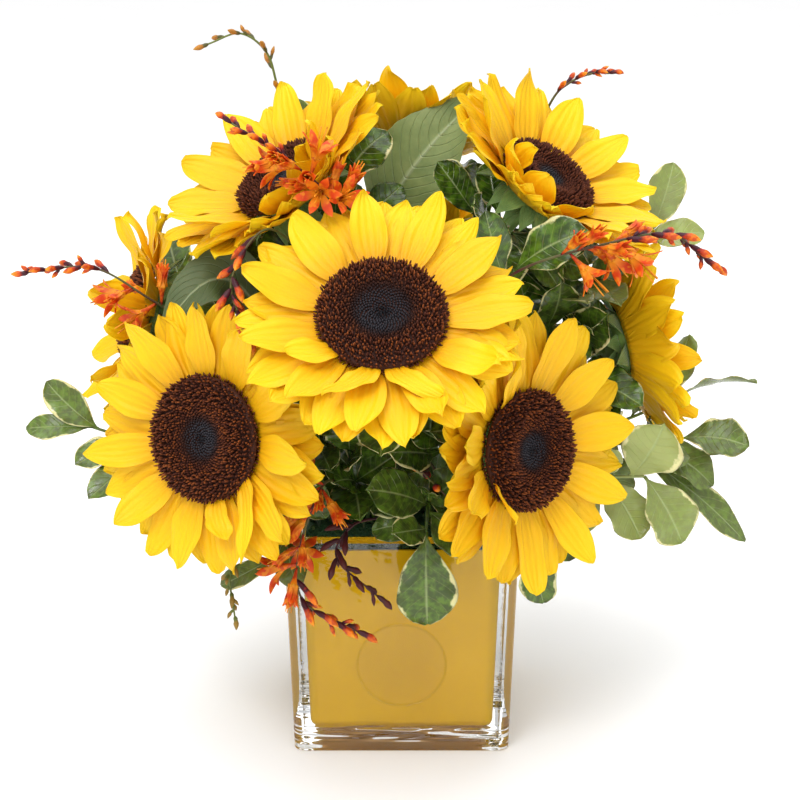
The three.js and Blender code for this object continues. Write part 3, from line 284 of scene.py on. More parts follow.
def seeded(seed):
    """The same even draws as the solids were made with."""
    state = seed * SEED_STEP

    def draw():
        nonlocal state
        state = state * DRAW_FACTOR % DRAW_PRIME
        return (state - 1) / (DRAW_PRIME - 1)
    return draw


def unit(vector):
    vector = np.asarray(vector, float)
    return vector / np.linalg.norm(vector, axis=-1, keepdims=True)


def held(value):
    """The value, kept between 0 and 1."""
    return np.clip(value, 0, 1)


def curve(stops, place):
    """A smooth curve through (place, value) stops."""
    x, y = np.array(stops, float).T
    slope = np.gradient(y, x)
    i = np.clip(np.searchsorted(x, place, side="right") - 1, 0, len(x) - 2)
    span = x[i + 1] - x[i]
    t = held((place - x[i]) / span)
    return ((1 + 2 * t) * (1 - t) ** 2 * y[i] + t * (1 - t) ** 2 * span * slope[i]
            + t * t * (3 - 2 * t) * y[i + 1] + t * t * (t - 1) * span * slope[i + 1])


def turned(vector, axis, degrees):
    """The vector turned about a unit axis."""
    angle = math.radians(degrees)
    vector = np.asarray(vector, float)
    return (vector * math.cos(angle) + np.cross(axis, vector) * math.sin(angle)
            + axis * np.dot(axis, vector) * (1 - math.cos(angle)))


class Axes:
    """A bloom's own frame: out along its axis, up as near +Z as that allows, and right across."""

    def __init__(self, head, facing):
        self.head = np.array(head, float)
        self.out = unit(facing)
        self.up = unit(np.array([0, 0, 1]) - self.out[2] * self.out)
        self.right = np.cross(self.up, self.out)

    def at(self, angle, r, z, aside=0):
        across = r * np.cos(angle) - aside * np.sin(angle)
        upward = r * np.sin(angle) + aside * np.cos(angle)
        across, upward, z = np.broadcast_arrays(across, upward, z)
        return (self.head + across[..., None] * self.right + upward[..., None] * self.up
                + z[..., None] * self.out)

    def pole(self, around, z):
        """One point on the axis, once for each place round it."""
        return np.broadcast_to(self.head + z * self.out, (around, 3))


def smooth_route(points, share):
    """A smooth line through the points, at shares of its spans."""
    p = np.array(points, float)
    ends = np.vstack([2 * p[0] - p[1], p, 2 * p[-1] - p[-2]])
    place = held(share) * (len(p) - 1)
    i = np.minimum(np.floor(place).astype(int), len(p) - 2)
    t = (place - i)[..., None]
    a, b, c, d = ends[i], ends[i + 1], ends[i + 2], ends[i + 3]
    return ((2 * t ** 3 - 3 * t ** 2 + 1) * b + (t ** 3 - 2 * t ** 2 + t) * (c - a) / 2
            + (3 * t ** 2 - 2 * t ** 3) * c + (t ** 3 - t ** 2) * (d - b) / 2)


NEARBY = 1e-4  # how far to each side of a place a stem's direction is taken


class Stalk:
    """A stem's course: straight up through the foam, then smooth through its points."""

    def __init__(self, foot, depth, points):
        self.points = [(foot[0], foot[1], FOAM_TOP + 1), *points]
        self.bottom = np.array([foot[0], foot[1], FOAM_TOP - depth], float)
        self.knots = smooth_route(self.points, np.linspace(0, 1, len(points) * 2 + 1))

    def on_rod(self, share):
        """A place on the solid's stem, which is straight between its knots."""
        place = share * (len(self.knots) - 1)
        i = min(int(place), len(self.knots) - 2)
        return self.knots[i] + (self.knots[i + 1] - self.knots[i]) * (place - i)

    def on_line(self, share):
        """The same place on the smooth stem."""
        return smooth_route(self.points, np.array(share, float))

    def along(self, share):
        ends = held([share - NEARBY, share + NEARBY])
        line = smooth_route(self.points, ends)
        return unit(line[1] - line[0])

    def line(self, steps):
        """The whole centreline, from its end in the foam."""
        return np.vstack([self.bottom, smooth_route(self.points, np.linspace(0, 1, steps - 1))])


class Solid:
    """A CAD node, to find which of several tries its shape was made by."""

    def __init__(self, node):
        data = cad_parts[node].data
        points = np.empty(len(data.vertices) * 3, np.float32)
        data.vertices.foreach_get("co", points)
        self.points = points.reshape(-1, 3) / MM
        self.faces = [tuple(face.vertices) for face in data.polygons]
        self.tree = BVHTree.FromPolygons(self.points.tolist(), self.faces)

    def off(self, marks):
        """How far the furthest mark lies from the solid's surface."""
        return max(self.tree.find_nearest(mark.tolist())[3] for mark in np.atleast_2d(marks))

    def best(self, tries, marks_of, limit):
        """The try whose marks lie on the solid, or None if the solid has left the piece out."""
        errors = [self.off(marks_of(one)) for one in tries]
        best = int(np.argmin(errors))
        return tries[best] if errors[best] < limit else None


class Crowd:
    """All that stands already, which added leaves keep clear of."""

    def __init__(self):
        points, faces = [], []
        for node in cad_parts:
            solid = Solid(node)
            start = sum(len(p) for p in points)
            points.append(solid.points)
            faces += [tuple(i + start for i in face) for face in solid.faces]
        self.tree = BVHTree.FromPolygons(np.vstack(points).tolist(), faces)
        self.added = np.empty((0, 3))

    def takes(self, marks, gap):
        """Settles the marks there if they are clear of everything by the gap."""
        if any(self.tree.find_nearest(mark.tolist())[3] <= gap for mark in marks):
            return False
        if len(self.added) and np.linalg.norm(self.added[None] - marks[:, None], axis=-1).min() < gap:
            return False
        self.added = np.vstack([self.added, marks])
        return True


@cache
def standing():
    """The one crowd that all added leaves and flowers share."""
    return Crowd()


# ---- Meshes ----

def pick(piece):
    """Deselects everything else and makes the piece the active one."""
    bpy.ops.object.select_all(action="DESELECT")
    bpy.context.view_layer.objects.active = piece
    piece.select_set(True)


@cache
def template(rings, around):
    """A ball of rings between two poles, added once and copied for every stem, blade, bud and floret."""
    bpy.ops.object.select_all(action="DESELECT")
    bpy.ops.mesh.primitive_uv_sphere_add(segments=around, ring_count=rings + 1, radius=1)
    ball = bpy.context.object
    points = np.array([v.co for v in ball.data.vertices])
    row = np.rint(np.arccos(np.clip(points[:, 2], -1, 1)) / np.pi * (rings + 1)).astype(int)
    turn = np.rint(np.arctan2(points[:, 1], points[:, 0]) / math.tau * around).astype(int) % around
    faces = [tuple(face.vertices) for face in ball.data.polygons]
    quads, tris = [np.array([face for face in faces if len(face) == corners]) for corners in (4, 3)]
    bpy.ops.object.delete()
    return SimpleNamespace(row=row, turn=turn, quads=quads, tris=tris)


class Skin:
    """Collects copies of templates moved to their shapes, then becomes one mesh."""

    def __init__(self):
        self.points, self.quads, self.tris = [], [], []
        self.marks = {"along": [], "across": [], "tint": [], "kind": []}
        self.count = 0

    def add(self, rings, along=None, across=0.0, tint=0.5, kind=0.0):
        """rings: one copy (rows + 2, around, 3), or several of them; the first and last rows are the poles."""
        rings = np.asarray(rings, float)
        if rings.ndim == 3:
            rings = rings[None]
        copies, count, around, _ = rings.shape
        ball = template(count - 2, around)
        points = rings[:, ball.row, ball.turn]
        volume = np.zeros(copies)
        for faces in (ball.quads[:, :3], ball.quads[:, [0, 2, 3]], ball.tris):
            a, b, c = np.moveaxis(points[:, faces], 2, 0)
            volume += np.einsum("nfi,nfi->n", a, np.cross(b, c))
        size = len(ball.row)
        for copy in range(copies):
            turn = 1 if volume[copy] > 0 else -1
            start = self.count + copy * size
            self.quads.append(ball.quads[:, ::turn] + start)
            self.tris.append(ball.tris[:, ::turn] + start)
        self.points.append(points.reshape(-1, 3))
        if along is None:
            along = np.linspace(0, 1, count)
        values = {"along": along, "across": across, "tint": tint, "kind": kind}
        for name, value in values.items():
            value = np.asarray(value, float)
            if value.ndim == 1:
                value = value[:, None]
            full = np.broadcast_to(value, (copies, count, around))
            self.marks[name].append(full[:, ball.row, ball.turn].reshape(-1))
        self.count += copies * size

    def join(self, other, base, size):
        """Takes over another skin's copies, shrunk towards a point."""
        self.points += [base + (points - base) * size for points in other.points]
        self.quads += [faces + self.count for faces in other.quads]
        self.tris += [faces + self.count for faces in other.tris]
        for key in self.marks:
            self.marks[key] += other.marks[key]
        self.count += other.count

    def build(self, name):
        """The mesh object, with across and along as its UV map and tint and kind as attributes."""
        data = bpy.data.meshes.new(name)
        faces = np.vstack(self.quads).tolist() + np.vstack(self.tris).tolist()
        data.from_pydata((np.vstack(self.points) * MM).tolist(), [], faces)
        marks = {key: np.concatenate(value) for key, value in self.marks.items()}
        corners = np.empty(len(data.loops), np.int32)
        data.loops.foreach_get("vertex_index", corners)
        uv = np.stack([marks["across"], marks["along"]], axis=-1)[corners]
        data.uv_layers.new(name="UVMap").data.foreach_set("uv", uv.ravel())
        for key in ("tint", "kind"):
            layer = data.attributes.new(key, "FLOAT", "POINT")
            layer.data.foreach_set("value", marks[key].astype(np.float32))
        piece = bpy.data.objects.new(name, data)
        bpy.context.scene.collection.objects.link(piece)
        pick(piece)
        bpy.ops.object.shade_smooth()
        return piece


def dress(piece, finish_name, slot, *nodes):
    """Gives the piece its finish and rides it on the bouquet, for the nodes that it stands for."""
    piece.data.materials.append(finish_of(finish_name))
    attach(piece, "root")
    if nodes:
        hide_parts(*nodes)


def round_turn(count):
    """Even angles all the way round."""
    return np.arange(count) / count * math.tau


ASKEW = (0.31, 0.57, 0.11)  # no stem starts along it


def tube(points, radii, around):
    """Rings along a line, with a pole at each end."""
    points = np.asarray(points, float)
    tangents = unit(np.gradient(points, axis=0))
    side = np.cross(tangents[0], ASKEW)
    sides = []
    for tangent in tangents:
        side = unit(side - tangent * np.dot(side, tangent))
        sides.append(side)
    sides = np.array(sides)
    rises = np.cross(tangents, sides)
    angle = round_turn(around)[:, None]
    radii = np.broadcast_to(radii, len(points))[:, None, None]
    rings = points[:, None] + radii * (np.cos(angle) * sides[:, None] + np.sin(angle) * rises[:, None])
    first = np.broadcast_to(points[0] - tangents[0] * radii[0] * 0.3, (1, around, 3))
    last = np.broadcast_to(points[-1] + tangents[-1] * radii[-1] * 0.6, (1, around, 3))
    return np.concatenate([first, rings, last])


def rod(stalk, radius, end, steps, around):
    """Rings along a stalk, from its radius down to that share of it at the end."""
    return tube(stalk.line(steps), radius * np.linspace(1, end, steps), around)


def flat_ring(columns):
    """Places across a blade's section, out along its top and back along its underside."""
    top = np.sin(np.linspace(-0.5, 0.5, columns) * np.pi)
    across = np.concatenate([top, top[-2:0:-1]])
    face = np.concatenate([np.ones(columns), -np.ones(columns - 2)])
    return across, face * np.sqrt(held(1 - across ** 2))


def blade(surface, places, columns, thick):
    """A closed thin blade: surface(along, across, height) gives its points, in rows from root to tip."""
    across, face = flat_ring(columns)
    along = places[:, None]
    rings = surface(along, across[None], face[None] * thick / 2)
    middle = np.zeros((1, 1))
    root, tip = [np.broadcast_to(surface(end, middle, middle), (1, len(across), 3))
                 for end in (along[:1], middle + 1)]
    shares = np.concatenate([places[:1], places, [1]])
    return np.concatenate([root, rings, tip]), shares[:, None], across[None] * 0.5 + 0.5


# ---- Materials ----

class Nodes:
    """Adds nodes to a material or a group, a line each."""

    def __init__(self, tree):
        self.tree = tree

    def add(self, kind, feeds=(), **settings):
        node = self.tree.nodes.new("ShaderNode" + kind)
        for key, value in settings.items():
            setattr(node, key, value)
        for key, value in dict(feeds).items():
            if isinstance(value, bpy.types.NodeSocket):
                self.feed(value, node.inputs[key])
            else:
                node.inputs[key].default_value = value
        return node

    def feed(self, value, socket):
        self.tree.links.new(value, socket)

    def math(self, operation, a, b=0.0, c=0.0):
        return self.add("Math", {0: a, 1: b, 2: c}, operation=operation).outputs[0]

    def times(self, a, b):
        return self.math("MULTIPLY", a, b)

    def plus(self, a, b):
        return self.math("ADD", a, b)

    def remap(self, value, low, high, to_low=0.0, to_high=1.0):
        feeds = {"Value": value, "From Min": low, "From Max": high, "To Min": to_low, "To Max": to_high}
        return self.add("MapRange", feeds).outputs[0]

    def mix(self, factor, *colours):
        """Two colours mixed, each a socket or its red, green and blue."""
        a, b = [one if isinstance(one, bpy.types.NodeSocket) else (*one, 1.0) for one in colours]
        return self.add("Mix", {0: factor, 6: a, 7: b}, data_type="RGBA").outputs[2]

    def attribute(self, name):
        return self.add("Attribute", attribute_name=name).outputs["Fac"]

    def uv(self):
        return self.add("UVMap", uv_map="UVMap").outputs["UV"]

    def place(self):
        return self.add("TexCoord").outputs["Object"]

    def parts(self, vector):
        return self.add("SeparateXYZ", {0: vector}).outputs

    def noise(self, vector, scale, detail=3.0, rough=0.55):
        feeds = {"Vector": vector, "Scale": scale, "Detail": detail, "Roughness": rough}
        return self.add("TexNoise", feeds).outputs["Fac"]

    def bump(self, height, strength, distance):
        feeds = {"Height": height, "Strength": strength, "Distance": distance}
        return self.add("Bump", feeds).outputs["Normal"]

    def group(self, name, feeds):
        return self.add("Group", feeds, node_tree=bpy.data.node_groups[name]).outputs

    def mottle(self, scale, low=0.0, high=1.0):
        feeds = {"Place": self.place(), "Scale": scale, "Low": low, "High": high}
        return self.group("mottle", feeds)["Value"]


def new_group(name, inputs, outputs):
    """An empty node group with named float sockets; an input called UV or Place is a vector."""
    group = bpy.data.node_groups.new(name, "ShaderNodeTree")
    for key in inputs:
        kind = "NodeSocketVector" if key in ("UV", "Place") else "NodeSocketFloat"
        group.interface.new_socket(name=key, in_out="INPUT", socket_type=kind)
    for key in outputs:
        group.interface.new_socket(name=key, in_out="OUTPUT", socket_type="NodeSocketFloat")
    nodes = Nodes(group)
    return nodes, group.nodes.new("NodeGroupInput"), group.nodes.new("NodeGroupOutput")


def build_groups():
    """The effects that several finishes share."""
    nodes, given, made = new_group("lengthwise ridges", ["UV", "Tint", "Count", "Waver"], ["Ridge", "Fibre"])
    parts = nodes.parts(given.outputs["UV"])
    shifted = nodes.add("CombineXYZ", {0: parts[0], 1: parts[1], 2: given.outputs["Tint"]}).outputs[0]
    waver = nodes.times(nodes.noise(shifted, 3.0), given.outputs["Waver"])
    turn = nodes.times(nodes.plus(parts[0], waver), given.outputs["Count"])
    wave = nodes.math("SINE", nodes.times(turn, math.tau))
    nodes.feed(nodes.remap(wave, -1.0, 1.0), made.inputs["Ridge"])
    long = nodes.add("CombineXYZ", {0: nodes.times(turn, 2.0), 1: nodes.times(parts[1], 2.2),
                                    2: nodes.times(given.outputs["Tint"], 9.0)}).outputs[0]
    nodes.feed(nodes.noise(long, 2.2, 4.0), made.inputs["Fibre"])

    nodes, given, made = new_group("mottle", ["Place", "Scale", "Low", "High"], ["Value"])
    spots = nodes.noise(given.outputs["Place"], given.outputs["Scale"], 4.0, 0.6)
    value = nodes.remap(spots, 0.3, 0.7, given.outputs["Low"], given.outputs["High"])
    nodes.feed(value, made.inputs["Value"])

    nodes, given, made = new_group("leaf veins", ["UV", "Pairs", "Slant"], ["Vein", "Rib", "Edge"])
    parts = nodes.parts(given.outputs["UV"])
    edge = nodes.math("ABSOLUTE", nodes.math("MULTIPLY_ADD", parts[0], 2.0, -1.0))
    bent = nodes.math("POWER", edge, 1.3)
    along = nodes.math("SUBTRACT", parts[1], nodes.times(bent, given.outputs["Slant"]))
    lines = nodes.math("PINGPONG", nodes.times(along, given.outputs["Pairs"]), 0.5)
    fine = nodes.remap(lines, 0.0, 0.09, 1.0, 0.0)
    nodes.feed(nodes.times(fine, nodes.remap(edge, 1.0, 0.75)), made.inputs["Vein"])
    nodes.feed(nodes.remap(edge, 0.0, 0.07, 1.0, 0.0), made.inputs["Rib"])
    nodes.feed(edge, made.inputs["Edge"])


FINISHES = {}


def finish(name, **plain):
    """Enters a finish under its name: its maker, and the shader's values that are the same all over."""
    def enter(maker):
        FINISHES[name] = maker, plain
        return maker
    return enter


@cache
def finish_of(name):
    """The finish of that name, made when a piece first needs it."""
    if "mottle" not in bpy.data.node_groups:
        build_groups()
    made = bpy.data.materials.new(name)
    made.use_nodes = True
    nodes = Nodes(made.node_tree)
    shader = nodes.tree.nodes["Principled BSDF"].inputs
    maker, plain = FINISHES[name]
    for key, value in plain.items():
        shader[key.replace("_", " ")].default_value = value
    for key, value in maker(nodes, bpy.context.scene.bouquet_colours).items():
        nodes.feed(value, shader[key])
    return made


@finish("petal_yellow", Roughness=0.5, Subsurface_Weight=0.22, Subsurface_Radius=(1.0, 0.6, 0.12),
        Subsurface_Scale=0.0025, Specular_IOR_Level=0.25)
def petal_finish(nodes, colours):
    """Yellow rays: golden at the root, lemon towards the tip, with pleats and fine fibres; the root's gold is partly
    painted shade, and the lower and side blooms get deeper gold as painted shade.
    """
    parts = nodes.parts(nodes.uv())
    tint = nodes.attribute("tint")
    ridges = nodes.group("lengthwise ridges", {"UV": nodes.uv(), "Tint": tint, "Count": 5.0, "Waver": 0.12})
    along = nodes.plus(parts[1], nodes.remap(ridges["Fibre"], 0.3, 0.7, -0.12, 0.12))
    # Towards the root the petals turn deeper gold: partly their own colour, partly painted shade near the disc.
    warm = nodes.mix(nodes.remap(along, 0.0, 0.5), colours.petal_root_and_shade, colours.petal_middle)
    colour = nodes.mix(nodes.remap(along, 0.4, 1.0), warm, colours.petal_tip)
    streak = nodes.remap(ridges["Fibre"], 0.35, 0.75, 0.0, 0.3)
    colour = nodes.mix(streak, colour, colours.petal_root_and_shade)
    colour = nodes.mix(nodes.remap(tint, 0.0, 1.0, 0.0, 0.35), colour, colours.petal_middle)
    # A high tint turns a petal deeper gold: partly petals that differ at random, partly painted shade on the lower
    # and side blooms.
    colour = nodes.mix(nodes.remap(tint, 0.45, 1.0, 0.0, 0.55), colour, (0.82, 0.41, 0.004))
    height = nodes.plus(ridges["Ridge"], nodes.times(ridges["Fibre"], 0.8))
    return {"Base Color": colour, "Roughness": nodes.remap(ridges["Fibre"], 0.3, 0.7, 0.42, 0.6),
            "Normal": nodes.bump(height, 0.35, 0.0009)}


@finish("disc_brown", Roughness=0.75, Specular_IOR_Level=0.3)
def disc_finish(nodes, colours):
    """Florets: near-black heart with a grey bloom, brown ring, orange-brown tips at the rim."""
    along = nodes.parts(nodes.uv())[1]
    share = nodes.attribute("kind")
    tint = nodes.attribute("tint")
    foot = nodes.mix(nodes.remap(share, 0.35, 0.6), (0.008, 0.008, 0.012), (0.045, 0.010, 0.004))
    rim_tip = nodes.mix(nodes.remap(tint, 0.3, 1.0), colours.disc_brown, colours.disc_tip)
    dark = nodes.mix(nodes.remap(share, 0.36, 0.5), colours.disc_heart, (0.022, 0.008, 0.006))
    dark = nodes.mix(nodes.remap(share, 0.08, 0.2, 1.0, 0.0), dark, (0.008, 0.008, 0.011))
    tip = nodes.mix(nodes.remap(share, 0.48, 0.68), dark, rim_tip)
    colour = nodes.mix(nodes.remap(along, 0.35, 0.95), foot, tip)
    return {"Base Color": colour, "Roughness": nodes.mottle(900.0, 0.55, 0.9)}


@finish("stem_green", Roughness=0.55, Subsurface_Weight=0.08, Subsurface_Scale=0.002, Sheen_Weight=0.25)
def stem_finish(nodes, colours):
    """Stems, receptacles and bracts: pale green with ribs, darker flecks and a soft down."""
    flecks = nodes.mottle(160.0, high=0.8)
    colour = nodes.mix(flecks, colours.stem_light, colours.stem_dark)
    down = nodes.remap(nodes.attribute("kind"), 0.9, 1.0, 0.0, 0.6)
    colour = nodes.mix(down, colour, (0.45, 0.5, 0.3))
    ridges = nodes.group("lengthwise ridges", {"UV": nodes.uv(), "Tint": 0.3, "Count": 9.0, "Waver": 0.02})
    return {"Base Color": colour, "Normal": nodes.bump(ridges["Ridge"], 0.4, 0.0004)}


@finish("leaf_variegated", Roughness=0.2, Subsurface_Weight=0.06, Subsurface_Scale=0.0015, Specular_IOR_Level=0.42)
def leaf_finish(nodes, colours):
    """Variegated leaves: dark green with grey-green flames, a cream margin and pale veins."""
    tint, pale = nodes.attribute("tint"), nodes.attribute("kind")
    veins = nodes.group("leaf veins", {"UV": nodes.uv(), "Pairs": 9.0, "Slant": 0.22})
    place = nodes.place()
    ragged = nodes.remap(nodes.noise(place, 130.0, 4.0), 0.3, 0.7, -0.14, 0.14)
    flames = nodes.remap(nodes.noise(place, 260.0, 4.0), 0.42, 0.62)
    green = nodes.mix(flames, colours.leaf_dark, colours.leaf_mid)
    green = nodes.mix(nodes.times(pale, 0.75), green, colours.leaf_pale)
    green = nodes.mix(nodes.times(veins["Vein"], 0.16), green, colours.leaf_pale)
    green = nodes.mix(nodes.times(veins["Rib"], 0.6), green, (0.36, 0.44, 0.18))
    rim = nodes.plus(veins["Edge"], ragged)
    start = nodes.remap(tint, 0.0, 1.0, 0.84, 1.02)
    margin = nodes.math("SMOOTH_MAX", nodes.times(nodes.math("SUBTRACT", rim, start), 14.0), 0.0, 0.1)
    margin = nodes.math("MINIMUM", margin, 1.0)
    margin = nodes.times(margin, nodes.remap(nodes.parts(nodes.uv())[1], 0.1, 0.2))
    colour = nodes.mix(margin, green, colours.leaf_cream)
    height = nodes.plus(nodes.times(veins["Vein"], -0.7), nodes.times(veins["Rib"], -1.0))
    height = nodes.plus(height, nodes.times(nodes.noise(place, 90.0, 2.0), 1.4))
    return {"Base Color": colour, "Normal": nodes.bump(height, 0.35, 0.0009)}


@finish("leaf_grey_green", Roughness=0.55, Subsurface_Weight=0.06, Subsurface_Scale=0.0015, Sheen_Weight=0.1)
def big_leaf_finish(nodes, colours):
    """Large grey-green leaves with a pale midrib and side veins, and a matt bloom; leaves that stand in shade are
    darkened with painted shade.
    """
    veins = nodes.group("leaf veins", {"UV": nodes.uv(), "Pairs": 12.0, "Slant": 0.3})
    cloud = nodes.mottle(70.0)
    colour = nodes.mix(cloud, colours.big_leaf_dark, colours.big_leaf_light)
    # Painted shade: the tint, which is the leaf's tone, darkens shaded leaves towards a deep painted-shade green.
    colour = nodes.mix(nodes.attribute("tint"), colours.big_leaf_painted_shade, colour)
    colour = nodes.mix(nodes.times(veins["Vein"], 0.22), colour, (0.3, 0.38, 0.2))
    colour = nodes.mix(nodes.times(veins["Rib"], 0.7), colour, (0.46, 0.52, 0.3))
    height = nodes.plus(nodes.times(veins["Vein"], -0.6), nodes.times(veins["Rib"], 0.8))
    return {"Base Color": colour, "Normal": nodes.bump(height, 0.6, 0.0009)}


@finish("spray_orange", Roughness=0.46, Subsurface_Weight=0.06, Specular_IOR_Level=0.3,
        Subsurface_Radius=(1.0, 0.4, 0.1), Subsurface_Scale=0.0015)
def spray_finish(nodes, colours):
    """Crocosmia: kind 0 a stem or calyx, 1 a bud, 2 an open lobe; tint is the spray's tone."""
    along = nodes.parts(nodes.uv())[1]
    kind, tone = nodes.attribute("kind"), nodes.attribute("tint")
    green_or_dark = nodes.mix(nodes.remap(tone, 0.45, 0.8), (0.13, 0.17, 0.03), (0.045, 0.008, 0.012))
    dusky = nodes.mix(nodes.remap(nodes.noise(nodes.place(), 60.0), 0.4, 0.6), (0.07, 0.012, 0.016),
                      (0.09, 0.1, 0.025))
    woody = nodes.mix(nodes.remap(tone, 0.0, 0.45), dusky, green_or_dark)
    bright = nodes.mix(nodes.remap(along, 0.4, 0.8), colours.bud_base, colours.bud_tip)
    bright = nodes.mix(nodes.remap(along, 0.8, 0.98), bright, colours.bud_end)
    flush = nodes.remap(nodes.noise(nodes.place(), 420.0, 1.0), 0.45, 0.6, 0.0, 0.75)
    bright = nodes.mix(flush, bright, colours.bud_base)
    dull = nodes.mix(nodes.remap(tone, 0.45, 0.8), (0.32, 0.2, 0.03), (0.07, 0.009, 0.01))
    bud = nodes.mix(nodes.remap(tone, 0.2, 0.5), bright, dull)
    torn = nodes.plus(along, nodes.remap(nodes.noise(nodes.place(), 500.0), 0.3, 0.7, -0.12, 0.12))
    calyx = nodes.mix(nodes.remap(tone, 0.3, 0.5), (0.05, 0.006, 0.014), woody)
    bud = nodes.mix(nodes.remap(torn, 0.36, 0.52, 1.0, 0.0), bud, calyx)
    throat = nodes.mix(nodes.remap(along, 0.05, 0.5), (0.8, 0.3, 0.012), colours.lobe_red)
    lobe = nodes.mix(nodes.remap(along, 0.6, 1.0), throat, colours.lobe_edge)
    lobe = nodes.mix(nodes.remap(nodes.noise(nodes.place(), 300.0, 1.0), 0.5, 0.62, 0.0, 0.8), lobe,
                     (0.78, 0.25, 0.008))
    colour = nodes.mix(nodes.remap(kind, 0.4, 0.6), woody, bud)
    colour = nodes.mix(nodes.remap(kind, 1.4, 1.6), colour, lobe)
    ridges = nodes.group("lengthwise ridges", {"UV": nodes.uv(), "Tint": tone, "Count": 4.0, "Waver": 0.05})
    return {"Base Color": colour, "Normal": nodes.bump(ridges["Fibre"], 0.3, 0.0004)}


@finish("vase_glass", Roughness=0.0, Transmission_Weight=1.0, IOR=1.5)
def glass_finish(nodes, colours):
    """Thick pressed glass, a little wavy, with painted grey shade in its thick upright corners."""
    place = nodes.place()
    x, y, z = nodes.parts(place)
    inward = nodes.math("MINIMUM", nodes.math("ABSOLUTE", x), nodes.math("ABSOLUTE", y))
    # Painted shade: above the foot the upright corners are tinted grey, standing in for the darker view seen through
    # the thick glass there.
    corner = nodes.times(nodes.remap(inward, 0.044, 0.049), nodes.remap(z, 0.012, 0.02))
    tint = nodes.mix(corner, colours.glass_tint, colours.glass_edge)
    uneven = nodes.math("MAXIMUM", nodes.remap(z, 0.0045, 0.0065), nodes.remap(inward, 0.038, 0.046))
    low = nodes.times(uneven, nodes.remap(z, 0.009, 0.016, 1.0, 0.05))
    layered = nodes.add("Mapping", {"Vector": place, "Scale": (0.45, 0.45, 4.0)}).outputs[0]
    return {"Base Color": tint, "Normal": nodes.bump(nodes.noise(layered, 60.0, 1.0), low, 0.009)}


@finish("liner_gold", Roughness=0.42, Metallic=0.35, Specular_IOR_Level=0.05)
def liner_finish(nodes, colours):
    """Satin gold sheet with faint lengthwise rolling marks and clouding, and painted amber light on its underside."""
    place = nodes.place()
    cloud = nodes.mottle(16.0)
    colour = nodes.mix(cloud, colours.gold, colours.gold_deep)
    height = nodes.parts(place)[2]
    # Painted light: below the cavity's floor the lining's underside, which lies in the vase's shade, is turned bright
    # amber so that it glows in the glass foot.
    underside = nodes.remap(height, 0.0098, 0.0104, 1.0, 0.0)
    grain = nodes.add("Mapping", {"Vector": place, "Scale": (1.0, 1.0, 0.06)}).outputs[0]
    fine = nodes.noise(grain, 900.0, 2.0)
    return {"Base Color": nodes.mix(underside, colour, colours.amber_painted_light),
            "Roughness": nodes.remap(fine, 0.3, 0.7, 0.36, 0.5),
            "Normal": nodes.bump(nodes.plus(nodes.times(fine, 0.1), cloud), 0.15, 0.0006)}


@finish("seal_clear", Roughness=0.03, Transmission_Weight=1.0, IOR=1.15)
def seal_finish(nodes, _):
    """A clear film seal, a shade milkier than the glass."""
    place = nodes.place()
    cloud = nodes.mottle(60.0)
    film = nodes.mix(cloud, (0.99, 0.98, 0.95), (1.0, 1.0, 0.98))
    x, _, z = nodes.parts(place)
    up = nodes.math("SUBTRACT", z, SEAL_HEIGHT * MM)
    out = nodes.math("SQRT", nodes.plus(nodes.times(x, x), nodes.times(up, up)))
    rim = nodes.remap(out, (SEAL_RADIUS - SEAL_RIM) * MM, (SEAL_RADIUS - 1) * MM)
    return {"Base Color": nodes.mix(rim, film, (0.92, 0.89, 0.82))}


@finish("foam_wet", Roughness=0.85, Specular_IOR_Level=0.3)
def foam_finish(nodes, _):
    """Wet floral foam: dark green, fine-pored."""
    place = nodes.place()
    pores = nodes.add("TexVoronoi", {"Vector": place, "Scale": 700.0}).outputs["Distance"]
    cloud = nodes.mottle(60.0)
    return {"Base Color": nodes.mix(cloud, (0.012, 0.04, 0.015), (0.03, 0.085, 0.03)),
            "Normal": nodes.bump(pores, 0.7, 0.0012)}


@finish("moss_dark", Roughness=0.7)
def moss_finish(nodes, _):
    """Short dark filler over the foam."""
    tint = nodes.attribute("tint")
    return {"Base Color": nodes.mix(tint, (0.012, 0.035, 0.008), (0.06, 0.11, 0.02)),
            "Normal": nodes.bump(nodes.noise(nodes.place(), 400.0), 0.4, 0.0005)}


@finish("floor_pale", Roughness=0.6, Specular_IOR_Level=0.2)
def floor_finish(nodes, _):
    """Plain pale floor with the faintest clouding."""
    cloud = nodes.mottle(3.0)
    return {"Base Color": nodes.mix(cloud, (0.96, 0.96, 0.96), (0.98, 0.98, 0.98))}


# ---- Glass, lining, seal and foam ----

SHARP = math.radians(35)  # an edge that bends more than this is rounded
SQUARE_ON = 0.9  # a face looks a certain way when this much of its normal does
LEVEL = 1e-4  # an edge rises when its ends differ in height by more, in metres


def outer_half(z):
    return VASE_FOOT_HALF + (VASE_TOP_HALF - VASE_FOOT_HALF) * z / VASE_HEIGHT


